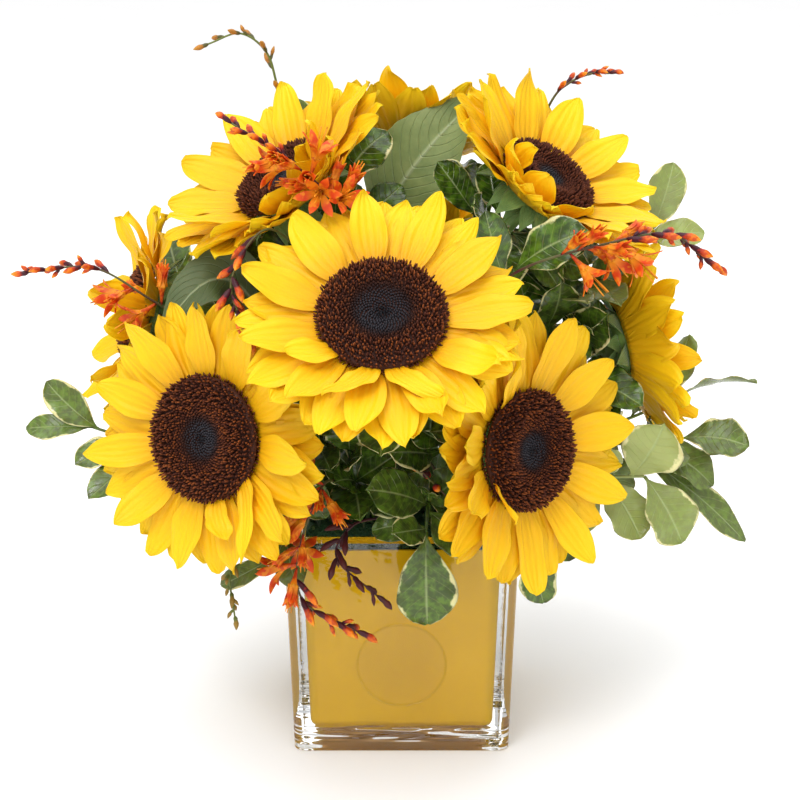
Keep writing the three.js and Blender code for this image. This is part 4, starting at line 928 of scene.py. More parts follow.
def rounded_box(name, low, high, inset, corner, foot_round, segments):
    """A tapered box in line with the glass, with rounded upright edges and a rounded foot."""
    bpy.ops.object.select_all(action="DESELECT")
    bpy.ops.mesh.primitive_cube_add(size=1, location=(0, 0, (low + high) / 2 * MM))
    box = bpy.context.object
    box.name = name
    top, foot = outer_half(high) - inset, outer_half(low) - inset
    box.scale = (2 * top * MM, 2 * top * MM, (high - low) * MM)
    bpy.ops.object.transform_apply(location=True, rotation=True, scale=True)
    bpy.ops.object.mode_set(mode="EDIT")
    bpy.ops.mesh.select_mode(type="FACE")
    pick_faces(box, lambda face: face.normal.z < -SQUARE_ON)
    bpy.ops.transform.resize(value=(foot / top, foot / top, 1))
    pick_edges(box, lambda a, b: abs(a.z - b.z) > LEVEL)
    bpy.ops.mesh.bevel(offset=corner * MM, segments=segments, affect="EDGES")
    if foot_round:
        pick_edges(box, lambda a, b: max(a.z, b.z) < (low + 0.01) * MM)
        bpy.ops.mesh.bevel(offset=foot_round * MM, segments=segments, affect="EDGES")
    bpy.ops.object.mode_set(mode="OBJECT")
    return box


def pick_faces(piece, wanted):
    """In edit mode, selects just the wanted faces."""
    bpy.ops.mesh.select_all(action="DESELECT")
    bpy.ops.object.mode_set(mode="OBJECT")
    for face in piece.data.polygons:
        face.select = bool(wanted(face))
    bpy.ops.object.mode_set(mode="EDIT")


def pick_edges(piece, wanted):
    """In edit mode, selects just the edges whose two ends are wanted."""
    bpy.ops.mesh.select_mode(type="EDGE")
    bpy.ops.mesh.select_all(action="DESELECT")
    bpy.ops.object.mode_set(mode="OBJECT")
    points = piece.data.vertices
    for edge in piece.data.edges:
        edge.select = bool(wanted(points[edge.vertices[0]].co, points[edge.vertices[1]].co))
    bpy.ops.object.mode_set(mode="EDIT")


def hollow_out(piece, core):
    """Cuts the core out of the piece."""
    pick(piece)
    cut = piece.modifiers.new("hollow", "BOOLEAN")
    cut.operation = "DIFFERENCE"
    cut.object = core
    bpy.ops.object.modifier_apply(modifier=cut.name)
    bpy.data.objects.remove(core)


def soften(piece, width, segments):
    """Rounds the piece's sharp edges, smooths what is left and keeps its flat faces level."""
    pick(piece)
    round_over = piece.modifiers.new("round", "BEVEL")
    round_over.width = width * MM
    round_over.segments = segments
    round_over.limit_method = "ANGLE"
    round_over.angle_limit = SHARP
    bpy.ops.object.modifier_apply(modifier=round_over.name)
    bpy.ops.object.shade_smooth_by_angle(angle=SHARP)
    level = piece.modifiers.new("level", "WEIGHTED_NORMAL")
    level.keep_sharp = True
    bpy.ops.object.modifier_apply(modifier=level.name)


class BOUQUET_OT_vase(bpy.types.Operator):
    """Thick pressed glass cube, a little narrower at its foot"""

    bl_idname = "bouquet.vase"
    bl_label = "Glass cube"

    def execute(self, context):
        glass = rounded_box("glass_cube", 0, VASE_HEIGHT, 0, VASE_CORNER, 0, 6)
        core = rounded_box("cavity", VASE_FLOOR, VASE_HEIGHT + 4, VASE_WALL, CAVITY_CORNER, CAVITY_ROUND, 8)
        hollow_out(glass, core)
        soften(glass, context.scene.bouquet_sizes.glass_edge / MM, 3)
        dress(glass, "vase_glass", "clear_glass", "vase")
        return {"FINISHED"}


class BOUQUET_OT_liner(bpy.types.Operator):
    """Gold inner sheet behind the glass"""

    bl_idname = "bouquet.liner"
    bl_label = "Gold lining"

    def execute(self, context):
        inset, floor = VASE_WALL - BEDDED, VASE_FLOOR - BEDDED
        sheet = rounded_box("gold_lining", floor, LINER_TOP, inset, CAVITY_CORNER, CAVITY_ROUND, 8)
        inset, floor = VASE_WALL + FIT + LINER_SHEET, VASE_FLOOR + FIT + LINER_SHEET
        corner = CAVITY_CORNER - FIT - LINER_SHEET
        core = rounded_box("core", floor, LINER_TOP + 5, inset, corner, CAVITY_ROUND, 8)
        hollow_out(sheet, core)
        soften(sheet, 0.2, 2)
        dress(sheet, "liner_gold", "gold_lining", "liner")
        return {"FINISHED"}


class BOUQUET_OT_seal(bpy.types.Operator):
    """Plain clear round seal on the front of the glass"""

    bl_idname = "bouquet.seal"
    bl_label = "Clear seal"

    def execute(self, context):
        bpy.ops.object.select_all(action="DESELECT")
        lean = math.atan2(VASE_TOP_HALF - VASE_FOOT_HALF, VASE_HEIGHT)
        y = -outer_half(SEAL_HEIGHT) - FIT - SEAL_THICK / 2
        bpy.ops.mesh.primitive_cylinder_add(
            vertices=96, radius=SEAL_RADIUS * MM, depth=SEAL_THICK * MM, end_fill_type="NGON",
            location=(0, y * MM, SEAL_HEIGHT * MM), rotation=(math.pi / 2 + lean, 0, 0))
        seal = bpy.context.object
        seal.name = "clear_seal"
        bpy.ops.object.transform_apply(location=True, rotation=True, scale=True)
        bpy.ops.object.mode_set(mode="EDIT")
        bpy.ops.mesh.select_mode(type="FACE")
        pick_faces(seal, lambda face: face.normal.y < -SQUARE_ON)
        bpy.ops.mesh.inset(thickness=SEAL_RIM * MM)
        bpy.ops.mesh.inset(thickness=SEAL_SLOPE * MM, depth=-SEAL_DISH * MM)
        bpy.ops.object.mode_set(mode="OBJECT")
        soften(seal, 0.3, 3)
        dress(seal, "seal_clear", "clear_seal", "seal")
        return {"FINISHED"}


class BOUQUET_OT_foam(bpy.types.Operator):
    """Wet floral foam that the stems stand in, under short dark filler"""

    bl_idname = "bouquet.foam"
    bl_label = "Foam and filler"

    def execute(self, context):
        inset = VASE_WALL + FIT * 2 + LINER_SHEET
        floor = VASE_FLOOR + FIT * 2 + LINER_SHEET
        corner = CAVITY_CORNER - 2 * FIT - LINER_SHEET
        block = rounded_box("floral_foam", floor, FOAM_TOP - 1, inset, corner, CAVITY_ROUND, 6)
        bpy.ops.object.mode_set(mode="EDIT")
        pick_edges(block, lambda a, b: min(a.z, b.z) > (FOAM_TOP - 1.5) * MM)
        bpy.ops.mesh.bevel(offset=FOAM_CHAMFER * MM, segments=4, affect="EDGES")
        bpy.ops.object.mode_set(mode="OBJECT")
        bpy.ops.object.shade_smooth_by_angle(angle=math.radians(40))
        dress(block, "foam_wet", "wet_foam", "foam")
        self.cover(context.scene.bouquet_sizes.moss_blades)
        return {"FINISHED"}

    def cover(self, count):
        """Curled blades all over the foam's top."""
        draw = seeded(MOSS_SEED)
        moss = Skin()
        half = outer_half(FOAM_TOP) - VASE_WALL - 4
        steps = np.linspace(0, 1, 5)
        for _ in range(count):
            x, y = (2 * draw() - 1) * half, (2 * draw() - 1) * half
            edge = max(abs(x), abs(y)) / half
            z = FOAM_TOP - 1.5 - max(0, edge - 0.86) * 34
            lean = draw() * math.tau
            reach = (2 + 4 * draw()) * (1 - 0.4 * edge)
            way = np.array([math.cos(lean), math.sin(lean), 0])
            outward = np.array([x, y, 0]) / half * 3
            rise = 3.0 + 5 * draw()
            start = np.array([x, y, z])
            middle, tip = start + way * reach * 0.5 + (0, 0, rise), start + way * reach + outward + (0, 0, rise * 0.9)
            line = smooth_route([start, middle, tip], steps)
            moss.add(tube(line, curve([(0, 0.7), (0.4, 1.1), (1, 0.15)], steps), 4), tint=draw())
        dress(moss.build("filler_moss"), "moss_dark", "variegated_leaves")


# ---- Blooms ----

def each_bloom(seed):
    """Every bloom with its frame, draws of its own and an empty skin."""
    for bloom in BLOOMS:
        yield bloom, Axes(bloom["head"], bloom["facing"]), seeded(bloom["seed"] + seed), Skin()


def course(petal, share):
    """A petal's course in its own upright plane: reach, height and angle at shares of its length."""
    steps = 12
    share = np.asarray(share, float)
    angle = np.radians(petal["cup"] + petal["curl"] * (np.arange(steps) + 0.5) / steps * share[..., None])
    step = petal["length"] * share[..., None] / steps
    r = petal["start"] + (step * np.cos(angle)).sum(-1)
    z = petal["rise"] + (step * np.sin(angle)).sum(-1)
    return r, z, angle[..., -1]


def blade_surface(axes, petal, width, camber, waves):
    """The surface of a petal or bract: waves(along, across) is its height over the cambered sheet."""
    def surface(along, across, height):
        r, z, angle = course(petal, along)
        half = petal["width"] / 2 * curve(width, held(along))
        height = height + petal["width"] * camber * across ** 2 * held(along * 3) * (1 - along * 0.4)
        height = height + waves(along, across) * np.minimum(1, half / 2)
        aside = across * half + petal["sweep"] * along * along
        return axes.at(petal["angle"], r - height * np.sin(angle), z + height * np.cos(angle), aside)
    return surface


def petal_marks(axes, petal):
    """Three points on a petal's rib that its solid has."""
    shares, lifts = np.array([0.42, 0.78, 1]), np.array([0.6, 0.5, 0])
    r, z, angle = course(petal, shares)
    aside = petal["sweep"] * shares * shares
    return axes.at(petal["angle"], r - lifts * np.sin(angle), z + lifts * np.cos(angle), aside)


def solid_petals(bloom, axes):
    """The petals that the bloom's solid has, drawn and bent alike; None where it has left one out."""
    draw = seeded(bloom["seed"])
    solid = Solid(f"bloom_{bloom['name']}_petals")
    petals = []
    side, lift, lack = bloom["fold"]
    for slot in range(bloom["slots"]):
        front = slot % 2 == 0
        angle = slot / bloom["slots"] * math.tau
        near = max(0, math.cos(angle - math.radians(side))) ** 3
        folded = near * lift
        length, width, cup, curl, sweep = [draw() * 2 - 1 for _ in range(5)]
        petal = dict(
            front=front, angle=angle, start=bloom["disc"] - RING_LIP,
            rise=(0.5 if front else -0.5) * RING_HALF,
            length=bloom["petal"] * (1 + length * 0.07) * (1 - near * lack),
            width=bloom["petal"] * 0.46 * (1 + width * 0.08),
            cup=bloom["cup"] + (6 if front else -4) + cup * 3 + folded,
            curl=curl * 12 + (4 if front else -6) + folded * 0.5, sweep=sweep * 2)
        tries = [dict(petal, cup=petal["cup"] + bend) for bend in PETAL_BENDS]
        petals.append(solid.best(tries, lambda one: petal_marks(axes, one), PETAL_MISS))
    return petals


def between_petals(bloom, petals, draw):
    """Added petals behind the gaps between two that stand in the solid."""
    added = []
    for one, other in zip(petals, petals[1:] + petals[:1]):
        chance, length, twist = draw(), draw(), draw()
        if one is None or other is None or chance > 0.96:
            continue
        angle = one["angle"] + math.pi / bloom["slots"]
        added.append(dict(
            one, angle=angle + (length - 0.5) * 0.06, rise=-1.5 * RING_HALF,
            width=one["width"] * 1.12,
            length=(one["length"] + other["length"]) / 2 * (0.88 + 0.12 * length),
            cup=min(one["cup"], other["cup"]) - 3, curl=(one["curl"] + other["curl"]) / 2 - 3,
            sweep=(twist - 0.5) * 5))
    return added


# Short petals that curl over a disc's edge: direction, length, rise, turn to the side.
CURLED = {
    "front": [(-100, 27, 30, -17), (-78, 25, 26, 17), (-140, 24, 34, -8)],
    "left": [(-36, 31, 24, -24), (-70, 24, 34, 10)],
    "right": [(-150, 22, 60, 8), (115, 24, 34, -10)],
    "upper_left": [(30, 22, 84, -8)],
    "upper_right": [(150, 22, 84, 8)],
}


def curled_petals(bloom):
    return [dict(angle=math.radians(way), start=bloom["disc"] - 1.5, rise=DISC_FOOT + 1.6, front=True, length=length,
                 width=bloom["petal"] * 0.36, cup=cup, curl=-14, sweep=sweep)
            for way, length, cup, sweep in CURLED.get(bloom["name"], [])]


class BOUQUET_OT_petals(bpy.types.Operator):
    """Ray petals of every bloom, pleated, waved and in three layers"""

    bl_idname = "bouquet.petals"
    bl_label = "Petals"

    def execute(self, context):
        sizes = context.scene.bouquet_sizes
        for bloom, axes, draw, rays in each_bloom(PETAL_SEED):
            petals = solid_petals(bloom, axes)
            added = between_petals(bloom, petals, draw) + curled_petals(bloom)
            for petal in [petal for petal in petals if petal] + added:
                self.ray(rays, bloom, axes, petal, sizes, draw)
            dress(rays.build(f"petals_{bloom['name']}"), "petal_yellow", "yellow_petals",
                  f"bloom_{bloom['name']}_petals")
        return {"FINISHED"}

    def ray(self, rays, bloom, axes, petal, sizes, draw):
        phase, twist, hook, wave, tint = [draw() for _ in range(5)]
        root = math.tau * petal["start"] / bloom["slots"] / petal["width"]
        width = [(0, min(root * 1.1, 0.9)), *PETAL_WIDTH]
        pleat, ripple = sizes.petal_pleat / MM, sizes.petal_ripple / MM

        def waves(along, across):
            lift = pleat * np.cos(3 * np.pi * across) * held(along * 6) * (1 - 0.55 * along)
            lift = lift + (twist - 0.5) * 7.5 * across * along ** 2
            lift = lift + (hook - 0.45) * 9.5 * held(along - 0.62) ** 2 * 9 * 0.5
            edge = np.sin((1.1 + wave) * math.tau * along + phase * math.tau + across * 1.2)
            return lift + ripple * edge * np.abs(across) ** 2 * held(along * 2)

        surface = blade_surface(axes, petal, width, 0.1, waves)
        places = 1 - (1 - np.linspace(-0.02, LAST_ROW, PETAL_ROWS)) ** 1.15
        places[0] = -0.05
        points, along, across = blade(surface, places, PETAL_COLUMNS, sizes.petal_thick / MM)
        # A share of painted shade for the lower and side blooms, which pushes their petals' tint to the deeper gold.
        warm = BLOOM_PAINTED_SHADE.get(bloom["name"], 0.0)
        rays.add(points, along, across, tint=warm + (1 - warm) * tint, kind=0.0 if petal["front"] else 1.0)


# How far a bloom's petals are shifted to the deeper gold: painted shade on the lower and side blooms, which stand in
# less light.
BLOOM_PAINTED_SHADE = {"left": 0.45, "right": 0.55, "far_right": 0.5, "far_left": 0.4, "front": 0.15}

DISC_SIDES = 40
HANGING = 0.09  # the share of a disc's florets that hang over its rim
BED_REACH = 0.965  # where the rest end, as a share of the disc's radius
GOLDEN_ANGLE = math.pi * (3 - math.sqrt(5))

# How much the dark heart of a disc is drawn in.
HEARTS = {"front": 1.05, "left": 1.45, "right": 1.5, "upper_left": 1.7, "upper_right": 1.7, "back": 1.1}


def disc_height(share):
    """Height of the florets' bed over the disc's foot, by share of its radius."""
    return curve(sorted(DISC_SECTION[1:]), np.minimum(share, 0.99))


class BOUQUET_OT_discs(bpy.types.Operator):
    """Discs: every floret in its place on the spiral"""

    bl_idname = "bouquet.discs"
    bl_label = "Discs"

    def execute(self, context):
        sizes = context.scene.bouquet_sizes
        for bloom, axes, draw, disc in each_bloom(DISC_SEED):
            self.bed(disc, axes, bloom["disc"])
            self.florets(disc, axes, bloom, int(sizes.florets * (bloom["disc"] / 30) ** 2), draw)
            dress(disc.build(f"disc_{bloom['name']}"), "disc_brown", "brown_disc", f"bloom_{bloom['name']}_disc")
        return {"FINISHED"}

    def bed(self, disc, axes, radius):
        turn = round_turn(DISC_SIDES)
        section = [(0.5, 0), (0.94, 0), (0.99, 1), (1, 2.2), (0.97, 3.4), (0.9, 4.0), (0.8, 5.0), (0.72, 5.4),
                   (0.6, 5.5), (0.5, 5.3), (0.38, 4.6), (0.26, 3.9), (0.12, 3.3)]
        rings = [axes.at(turn, radius * share, DISC_FOOT + z) for share, z in section]
        foot, heart = axes.pole(DISC_SIDES, DISC_FOOT), axes.pole(DISC_SIDES, DISC_FOOT + 3)
        disc.add([foot, *rings, heart], along=0.0, kind=0.7)

    def florets(self, disc, axes, bloom, count, draw):
        """Closed florets in the heart, open ones round it, and a last rank that hangs over the rim."""
        radius, heart = bloom["disc"], HEARTS.get(bloom["name"], 1.2)
        rim = int(count * HANGING)
        n = np.arange(count) + 0.5
        share = np.minimum(np.sqrt(n / (count - rim)), 1) * BED_REACH
        over = held((n - (count - rim)) / rim)
        turn = n * GOLDEN_ANGLE
        rough = np.array([[draw() for _ in range(5)] for _ in range(count)])
        outer = held((share - 0.42) / 0.25)
        tall = 1.0 + 1.8 * outer + (rough[:, 0] - 0.3) * (0.5 + 1.2 * outer)
        tall = tall * (1 - 0.45 * np.ceil(over))
        lean = np.radians(-18 + 48 * held((share - 0.3) / 0.7) ** 1.6) + (rough[:, 1] - 0.5) * 0.5
        lean = lean + np.ceil(over) * np.radians(38)
        side = (rough[:, 2] - 0.5) * 0.5 * outer
        wide = radius * np.sqrt(math.pi / count) * (0.5 + 0.08 * (rough[:, 3] - 0.5))
        root_z = DISC_FOOT + disc_height(share) - 1.0 - 3 * np.ceil(over) * rough[:, 1]
        levels = np.array([0, 0.3, 0.62, 0.86, 1.0])
        closed = np.array([0.8, 0.95, 0.8, 0.42, 0.0])
        opened = np.array([0.7, 0.62, 0.8, 0.55, 0.0])
        girth = closed + (opened - closed) * outer[:, None]
        facets = round_turn(5)
        reach = (tall + 1.0)[:, None] * levels
        r = (share * radius)[:, None] + reach * np.sin(lean)[:, None]
        z = root_z[:, None] + reach * np.cos(lean)[:, None]
        aside = side[:, None] * reach
        girth = (wide[:, None] * girth)[..., None]
        ring_r, ring_s = girth * np.cos(facets), girth * np.sin(facets)
        lean = lean[:, None, None]
        points = axes.at(turn[:, None, None], r[..., None] + ring_r * np.cos(lean),
                         z[..., None] - ring_r * np.sin(lean), aside[..., None] + ring_s)
        shine = 0.55 if bloom["name"].startswith("upper") else 1
        disc.add(points, along=levels[None, :, None], tint=shine * rough[:, 4][:, None, None],
                 kind=np.minimum(share * heart, 1)[:, None, None])


def bloom_stalk(bloom, axes):
    """The stem's course into the back of its bloom."""
    neck = axes.head + axes.out * (3 - HEAD_DEPTH)
    lifted = (bloom["foot"][0], bloom["foot"][1], FOAM_TOP + bloom["lift"])
    return Stalk(bloom["foot"], STEM_DEPTH, [lifted, neck - axes.out * bloom["reach"], neck])


class BOUQUET_OT_greens(bpy.types.Operator):
    """Stem, receptacle and bracts of every bloom, with their down"""

    bl_idname = "bouquet.greens"
    bl_label = "Stems and bracts"

    def execute(self, context):
        sizes = context.scene.bouquet_sizes
        for bloom, axes, draw, green in each_bloom(GREEN_SEED):
            self.stem(green, bloom_stalk(bloom, axes), sizes.stem_hairs, draw)
            self.cup(green, bloom, axes)
            self.bracts(green, bloom, axes, draw)
            dress(green.build(f"stem_{bloom['name']}"), "stem_green", "green_stems", f"bloom_{bloom['name']}_green")
        return {"FINISHED"}

    def stem(self, green, stalk, hairs, draw):
        line = stalk.line(STEM_STEPS)
        radii = STEM_RADIUS * (0.94 + 0.06 * np.cos(np.linspace(0, 9, STEM_STEPS)))
        green.add(tube(line, radii, STEM_SIDES), across=(np.arange(STEM_SIDES) / STEM_SIDES)[None, None])
        shown = line[line[:, 2] > FOAM_TOP]
        for _ in range(hairs):
            place = draw() * (len(shown) - 1.001)
            i = int(place)
            centre = shown[i] + (shown[i + 1] - shown[i]) * (place - i)
            along = unit(shown[i + 1] - shown[i])
            way = np.array([draw() - 0.5 for _ in range(3)])
            way = unit(way - along * np.dot(way, along))
            tip = way * (STEM_RADIUS + 0.8 + 1.4 * draw()) + along * (draw() - 0.3)
            hair = [centre + way * STEM_RADIUS * 0.9, centre + (way * STEM_RADIUS + tip) / 2, centre + tip]
            green.add(tube(hair, [0.16, 0.1, 0.03], 3), kind=1.0)

    def cup(self, green, bloom, axes):
        rim, edge = bloom["disc"] * CUP_RIM, BRACT_TOP - BRACT_EDGE
        section = [(STEM_RADIUS, 2 - HEAD_DEPTH), (STEM_RADIUS * 1.15, 3.4 - HEAD_DEPTH),
                   (rim * 0.36, edge - 7.4), (rim * 0.6, edge - 5.4), (rim * 0.84, edge - 2.6), (rim * 0.98, edge),
                   (rim, BRACT_TOP - 0.6), (rim * 0.97, BRACT_TOP), (rim * 0.5, BRACT_TOP)]
        turn = round_turn(CUP_SIDES)
        rings = [axes.at(turn, r * (1 + 0.02 * np.cos(7 * turn)), z) for r, z in section]
        green.add([axes.pole(CUP_SIDES, -HEAD_DEPTH), *rings, axes.pole(CUP_SIDES, BRACT_TOP)])

    def bracts(self, green, bloom, axes, draw):
        twin = seeded(bloom["seed"] + 1)
        rim, edge = bloom["disc"] * CUP_RIM, BRACT_TOP - BRACT_EDGE
        plans = []
        for i in range(BRACTS):
            length, cup = twin(), twin()
            plans.append(dict(angle=i / BRACTS * math.tau, start=rim - 1, rise=(BRACT_TOP + edge) / 2,
                              length=bloom["disc"] * (0.62 + 0.14 * length), width=rim * 0.6,
                              cup=-22 - 14 * cup, curl=-12, sweep=0))
        for layer in (1, 2):
            for i in range(BRACTS):
                plans.append(dict(
                    angle=(i + 0.5 * layer + 0.2 * draw()) / BRACTS * math.tau, start=rim * (1 - 0.14 * layer),
                    rise=edge - 1.6 * layer, length=bloom["disc"] * (0.6 - 0.07 * layer + 0.14 * draw()),
                    width=rim * (0.56 - 0.04 * layer), cup=-24 - 12 * layer - 14 * draw(),
                    curl=10 - 40 * draw(), sweep=3 * draw() - 1.5))
        for bract in plans:
            bend = draw() * 2 - 1

            def waves(along, across, bend=bend):
                return 0.25 * np.cos(2 * np.pi * across) * held(along * 4) + bend * across * along

            surface = blade_surface(axes, bract, BRACT_WIDTH, 0.08, waves)
            places = np.linspace(0, LAST_SMALL_ROW, BRACT_ROWS)
            points, along, across = blade(surface, places, BRACT_COLUMNS, BRACT_THICK)
            green.add(points, along, across, tint=draw())


# ---- Leaves ----

def stem_of(plan, depth):
    """The plan's solid, and its stem, moved as the solid's was."""
    solid = Solid(plan["name"])

    def moved(shift):
        via = [np.add(p, shift) if i < len(plan["via"]) - 1 else np.array(p, float)
               for i, p in enumerate(plan["via"])]
        return Stalk(plan["foot"], depth, via)

    return solid, solid.best([moved(shift) for shift in STEM_SHIFTS], lambda stalk: stalk.knots[1:], STEM_MISS)


def outwards(base):
    """Leaves spread to the light: up and to the front, or to the back behind the middle."""
    return unit((base[0] / 500, np.clip((base[1] - 40) / 50, -0.8, 0.8), 0.6))


def leaf_frame(base, tip, face, bend):
    """The way along a leaf, across it and off its face, turned about its base."""
    along = np.subtract(tip, base)
    side = unit(np.cross(along, face))
    along = turned(along, side, bend[0])
    up = unit(np.cross(side, along))
    return turned(along, up, bend[1]), turned(side, up, bend[1]), up


def leaf_marks(base, shape):
    """Points on a leaf's rib that its solid has."""
    along, _, up = shape
    shares, lifts = np.array([0.36, 0.74, 1.0]), np.array([0.5, 0.5, 0]) * LEAF_THICK
    arch = np.linalg.norm(along) * LEAF_ARCH * 4 * shares * (1 - shares) + lifts
    return base + shares[:, None] * along + arch[:, None] * up


# Where an added leaf is tested for room, as (share of its length, share of its width aside), and how much it needs.
SLIM_SPOTS = [(0.35, 0), (0.6, 0), (0.6, 0.24), (0.6, -0.24), (0.85, 0), (1, 0)]
LONG_SPOTS = [(0, 0), (0.25, 0), (0.42, 0.4), (0.42, -0.4), (0.6, 0), (0.7, 0.42), (0.7, -0.42), (0.86, 0), (1, 0)]
BROAD_SPOTS = [(0.15, 0), (0.35, 0.3), (0.35, -0.3), (0.55, 0.44), (0.55, -0.44), (0.55, 0), (0.78, 0.4),
               (0.78, -0.4), (1, 0)]
LEAF_GAP = 1.6
INNER_LEAF_GAP = 2.2
FLOWER_GAP = 2.0


def leaf_spots(base, shape, wide, spots):
    along, side, up = shape
    rise = up * 4 * LEAF_ARCH * np.linalg.norm(along)
    return np.array([base + along * s + side * wide * a + rise * s * (1 - s) for s, a in spots])


def grow_leaf(skin, base, shape, width, start, draw, pale):
    """One oval leaf with a stalk, a waved edge and a folded rib; start is where its stalk leaves the stem."""
    along_way, side, up = shape
    phase, waver, curl, tint = [draw() for _ in range(4)]
    length = np.linalg.norm(along_way)
    arch = length * LEAF_ARCH

    def surface(along, across, height):
        half = width / 2 * curve(LEAF_WIDTH, held(along))
        half = half * (1 + 0.05 * np.sin(along * 10 + phase * math.tau + 2.1 * np.sign(across)))
        height = height + width * 0.085 * np.abs(across) ** 1.4 * held(along * 2)
        edge = np.sin((2.2 + waver) * math.tau * along + phase * math.tau + np.sign(across))
        height = height + width * 0.055 * edge * across ** 2 * held(along * 3) * np.minimum(1, half / 3)
        height = height + arch * 4 * along * (1 - along) + (curl - 0.6) * width * 0.3 * held(along - 0.7)
        fade = held(1 - along * 7)
        centre = base + (start - base) * fade[..., None]
        sideways = across * half + (phase - 0.5) * 0.4 * length * along * (1 - along)
        return centre + along[..., None] * along_way + sideways[..., None] * side + height[..., None] * up

    places = 1 - (1 - np.linspace(0, LAST_ROW, LEAF_ROWS)) ** 1.1
    thick = bpy.context.scene.bouquet_sizes.leaf_thick / MM
    points, along, across = blade(surface, places, LEAF_COLUMNS, thick)
    skin.add(points, along, across, tint=tint, kind=pale)


class BOUQUET_OT_leafy(bpy.types.Operator):
    """Variegated leafy stems, with small leaves added between the large ones"""

    bl_idname = "bouquet.leafy"
    bl_label = "Leafy stems"

    def execute(self, context):
        sizes = context.scene.bouquet_sizes
        for number, plan in enumerate(LEAFY):
            draw = seeded(LEAFY_SEED + number)
            solid, stalk = stem_of(plan, TWIG_DEPTH)
            skin = Skin()
            skin.add(rod(stalk, TWIG_RADIUS, 0.6, 30, 8), along=0.5, across=0.25, tint=1.0, kind=plan["pale"])
            for share, tip, width in plan["leaves"]:
                base = stalk.on_rod(share)
                tries = [leaf_frame(base, tip, outwards(base), bend) for bend in LEAF_BENDS]
                shape = solid.best(tries, lambda one: leaf_marks(base, one), LEAF_MISS)
                if shape is not None:
                    pale = plan["pale"] * (0.7 + 0.6 * draw())
                    grow_leaf(skin, base, shape, width, stalk.on_line(share), draw, pale)
            self.fill_in(skin, stalk, plan["pale"], sizes, draw)
            dress(skin.build(plan["name"]), "leaf_variegated", "variegated_leaves", plan["name"])
        return {"FINISHED"}

    def fill_in(self, skin, stalk, pale, sizes, draw):
        """Small leaves wherever the stem has room for them."""
        grown = 0
        for _ in range(sizes.leaf_tries):
            share = 0.25 + 0.75 * draw()
            base = stalk.on_line(share)
            size = 15 + 13 * draw()
            way = unit([draw() - 0.5, draw() - 0.5, draw() - 0.35])
            way = unit(way + stalk.along(share) * 0.5)
            shape = leaf_frame(base, base + way * size, outwards(base), (0, 0))
            marks = leaf_spots(base, shape, size * 0.6, SLIM_SPOTS)
            if marks[:, 2].min() > FOAM_TOP - 30 and standing().takes(marks, LEAF_GAP):
                grow_leaf(skin, base, shape, size * 0.62, base, draw, pale)
                grown += 1
            if grown >= sizes.leaf_extras:
                break


# Where the bouquet would be open: the middles of leaves that close it.
OPENINGS = [
    (94, -10, 223), (86, -10, 232), (104, -4, 240), (80, -16, 214), (60, 30, 299), (52, 20, 290), (-57, -10, 253),
    (-64, -20, 240), (-107, -10, 209), (-98, -14, 224), (-92, 0, 236), (70, -30, 240), (76, -8, 250), (40, -34, 176),
    (-46, -46, 156), (-40, -52, 146), (112, -14, 228), (90, -24, 214), (98, 4, 214), (74, 6, 236),
]
OPENING_TRIES = 40
STEMS_REACH = 70  # a leaf that closes an opening starts no further off than this


class BOUQUET_OT_inner_leaves(bpy.types.Operator):
    """Dark leaves on the blooms' own stems, which fill the bouquet between the heads"""

    bl_idname = "bouquet.inner_leaves"
    bl_label = "Inner leaves"

    def execute(self, context):
        tries = context.scene.bouquet_sizes.inner_tries
        for bloom, axes, draw, skin in each_bloom(INNER_SEED):
            stalk = bloom_stalk(bloom, axes)
            for _ in range(tries):
                share = 0.2 + 0.72 * draw()
                base = stalk.on_line(share)
                size = 24 + 22 * draw()
                reach = 3 + 20 * draw()
                away = unit([base[0] / 120, (base[1] - 10) / 90, 0.1])
                way = unit(away * 0.7 + unit([draw() - 0.5, draw() - 0.5, draw() - 0.45]) * 1.1)
                way = unit(way - stalk.along(share) * np.dot(way, stalk.along(share)) * 0.6)
                foot = base + way * reach
                lean = unit(way + (0, 0, draw() - 0.5))
                shape = leaf_frame(foot, foot + lean * size, outwards(foot), (0, 0))
                wide = size * (0.5 + 0.12 * draw())
                marks = leaf_spots(foot, shape, wide, LONG_SPOTS)
                if marks[:, 2].min() >= FOAM_TOP + 2 and standing().takes(marks, INNER_LEAF_GAP):
                    grow_leaf(skin, foot, shape, wide, base, draw, 0.12 * draw())
            if skin.count:
                dress(skin.build(f"stem_leaves_{bloom['name']}"), "leaf_variegated", "variegated_leaves")
        self.close_openings()
        return {"FINISHED"}

    def close_openings(self):
        """A leaf at each opening, which faces outwards and hangs on the nearest bloom's stem."""
        draw, skin = seeded(CLOSING_SEED), Skin()
        stalks = [bloom_stalk(bloom, axes) for bloom, axes, _, _ in each_bloom(0)]
        starts = np.vstack([stalk.on_line(share) for stalk in stalks for share in np.linspace(0.2, 0.9, 30)])
        for middle in OPENINGS:
            for attempt in range(OPENING_TRIES):
                place = np.add(middle, [14 * draw() - 7, 24 * draw() - 12, 14 * draw() - 7])
                size = (36 - attempt * 0.4) * (0.8 + 0.3 * draw())
                start = starts[np.argmin(np.linalg.norm(starts - place, axis=1))]
                spread = unit([draw() - 0.5, 0.6 * draw() - 0.3, draw() - 0.4])
                way = unit(unit(place - start) * 0.8 + spread)
                foot = place - way * size * 0.55
                wide = size * (0.56 + 0.1 * draw())
                shape = leaf_frame(foot, foot + way * size, unit([place[0] / 200, -1, 0.4]), (0, 0))
                marks = leaf_spots(foot, shape, wide, BROAD_SPOTS)
                if np.linalg.norm(start - place) < STEMS_REACH and standing().takes(marks, LEAF_GAP):
                    grow_leaf(skin, foot, shape, wide, start, draw, 0.15 * draw())
                    break
        dress(skin.build("closing_leaves"), "leaf_variegated", "variegated_leaves")


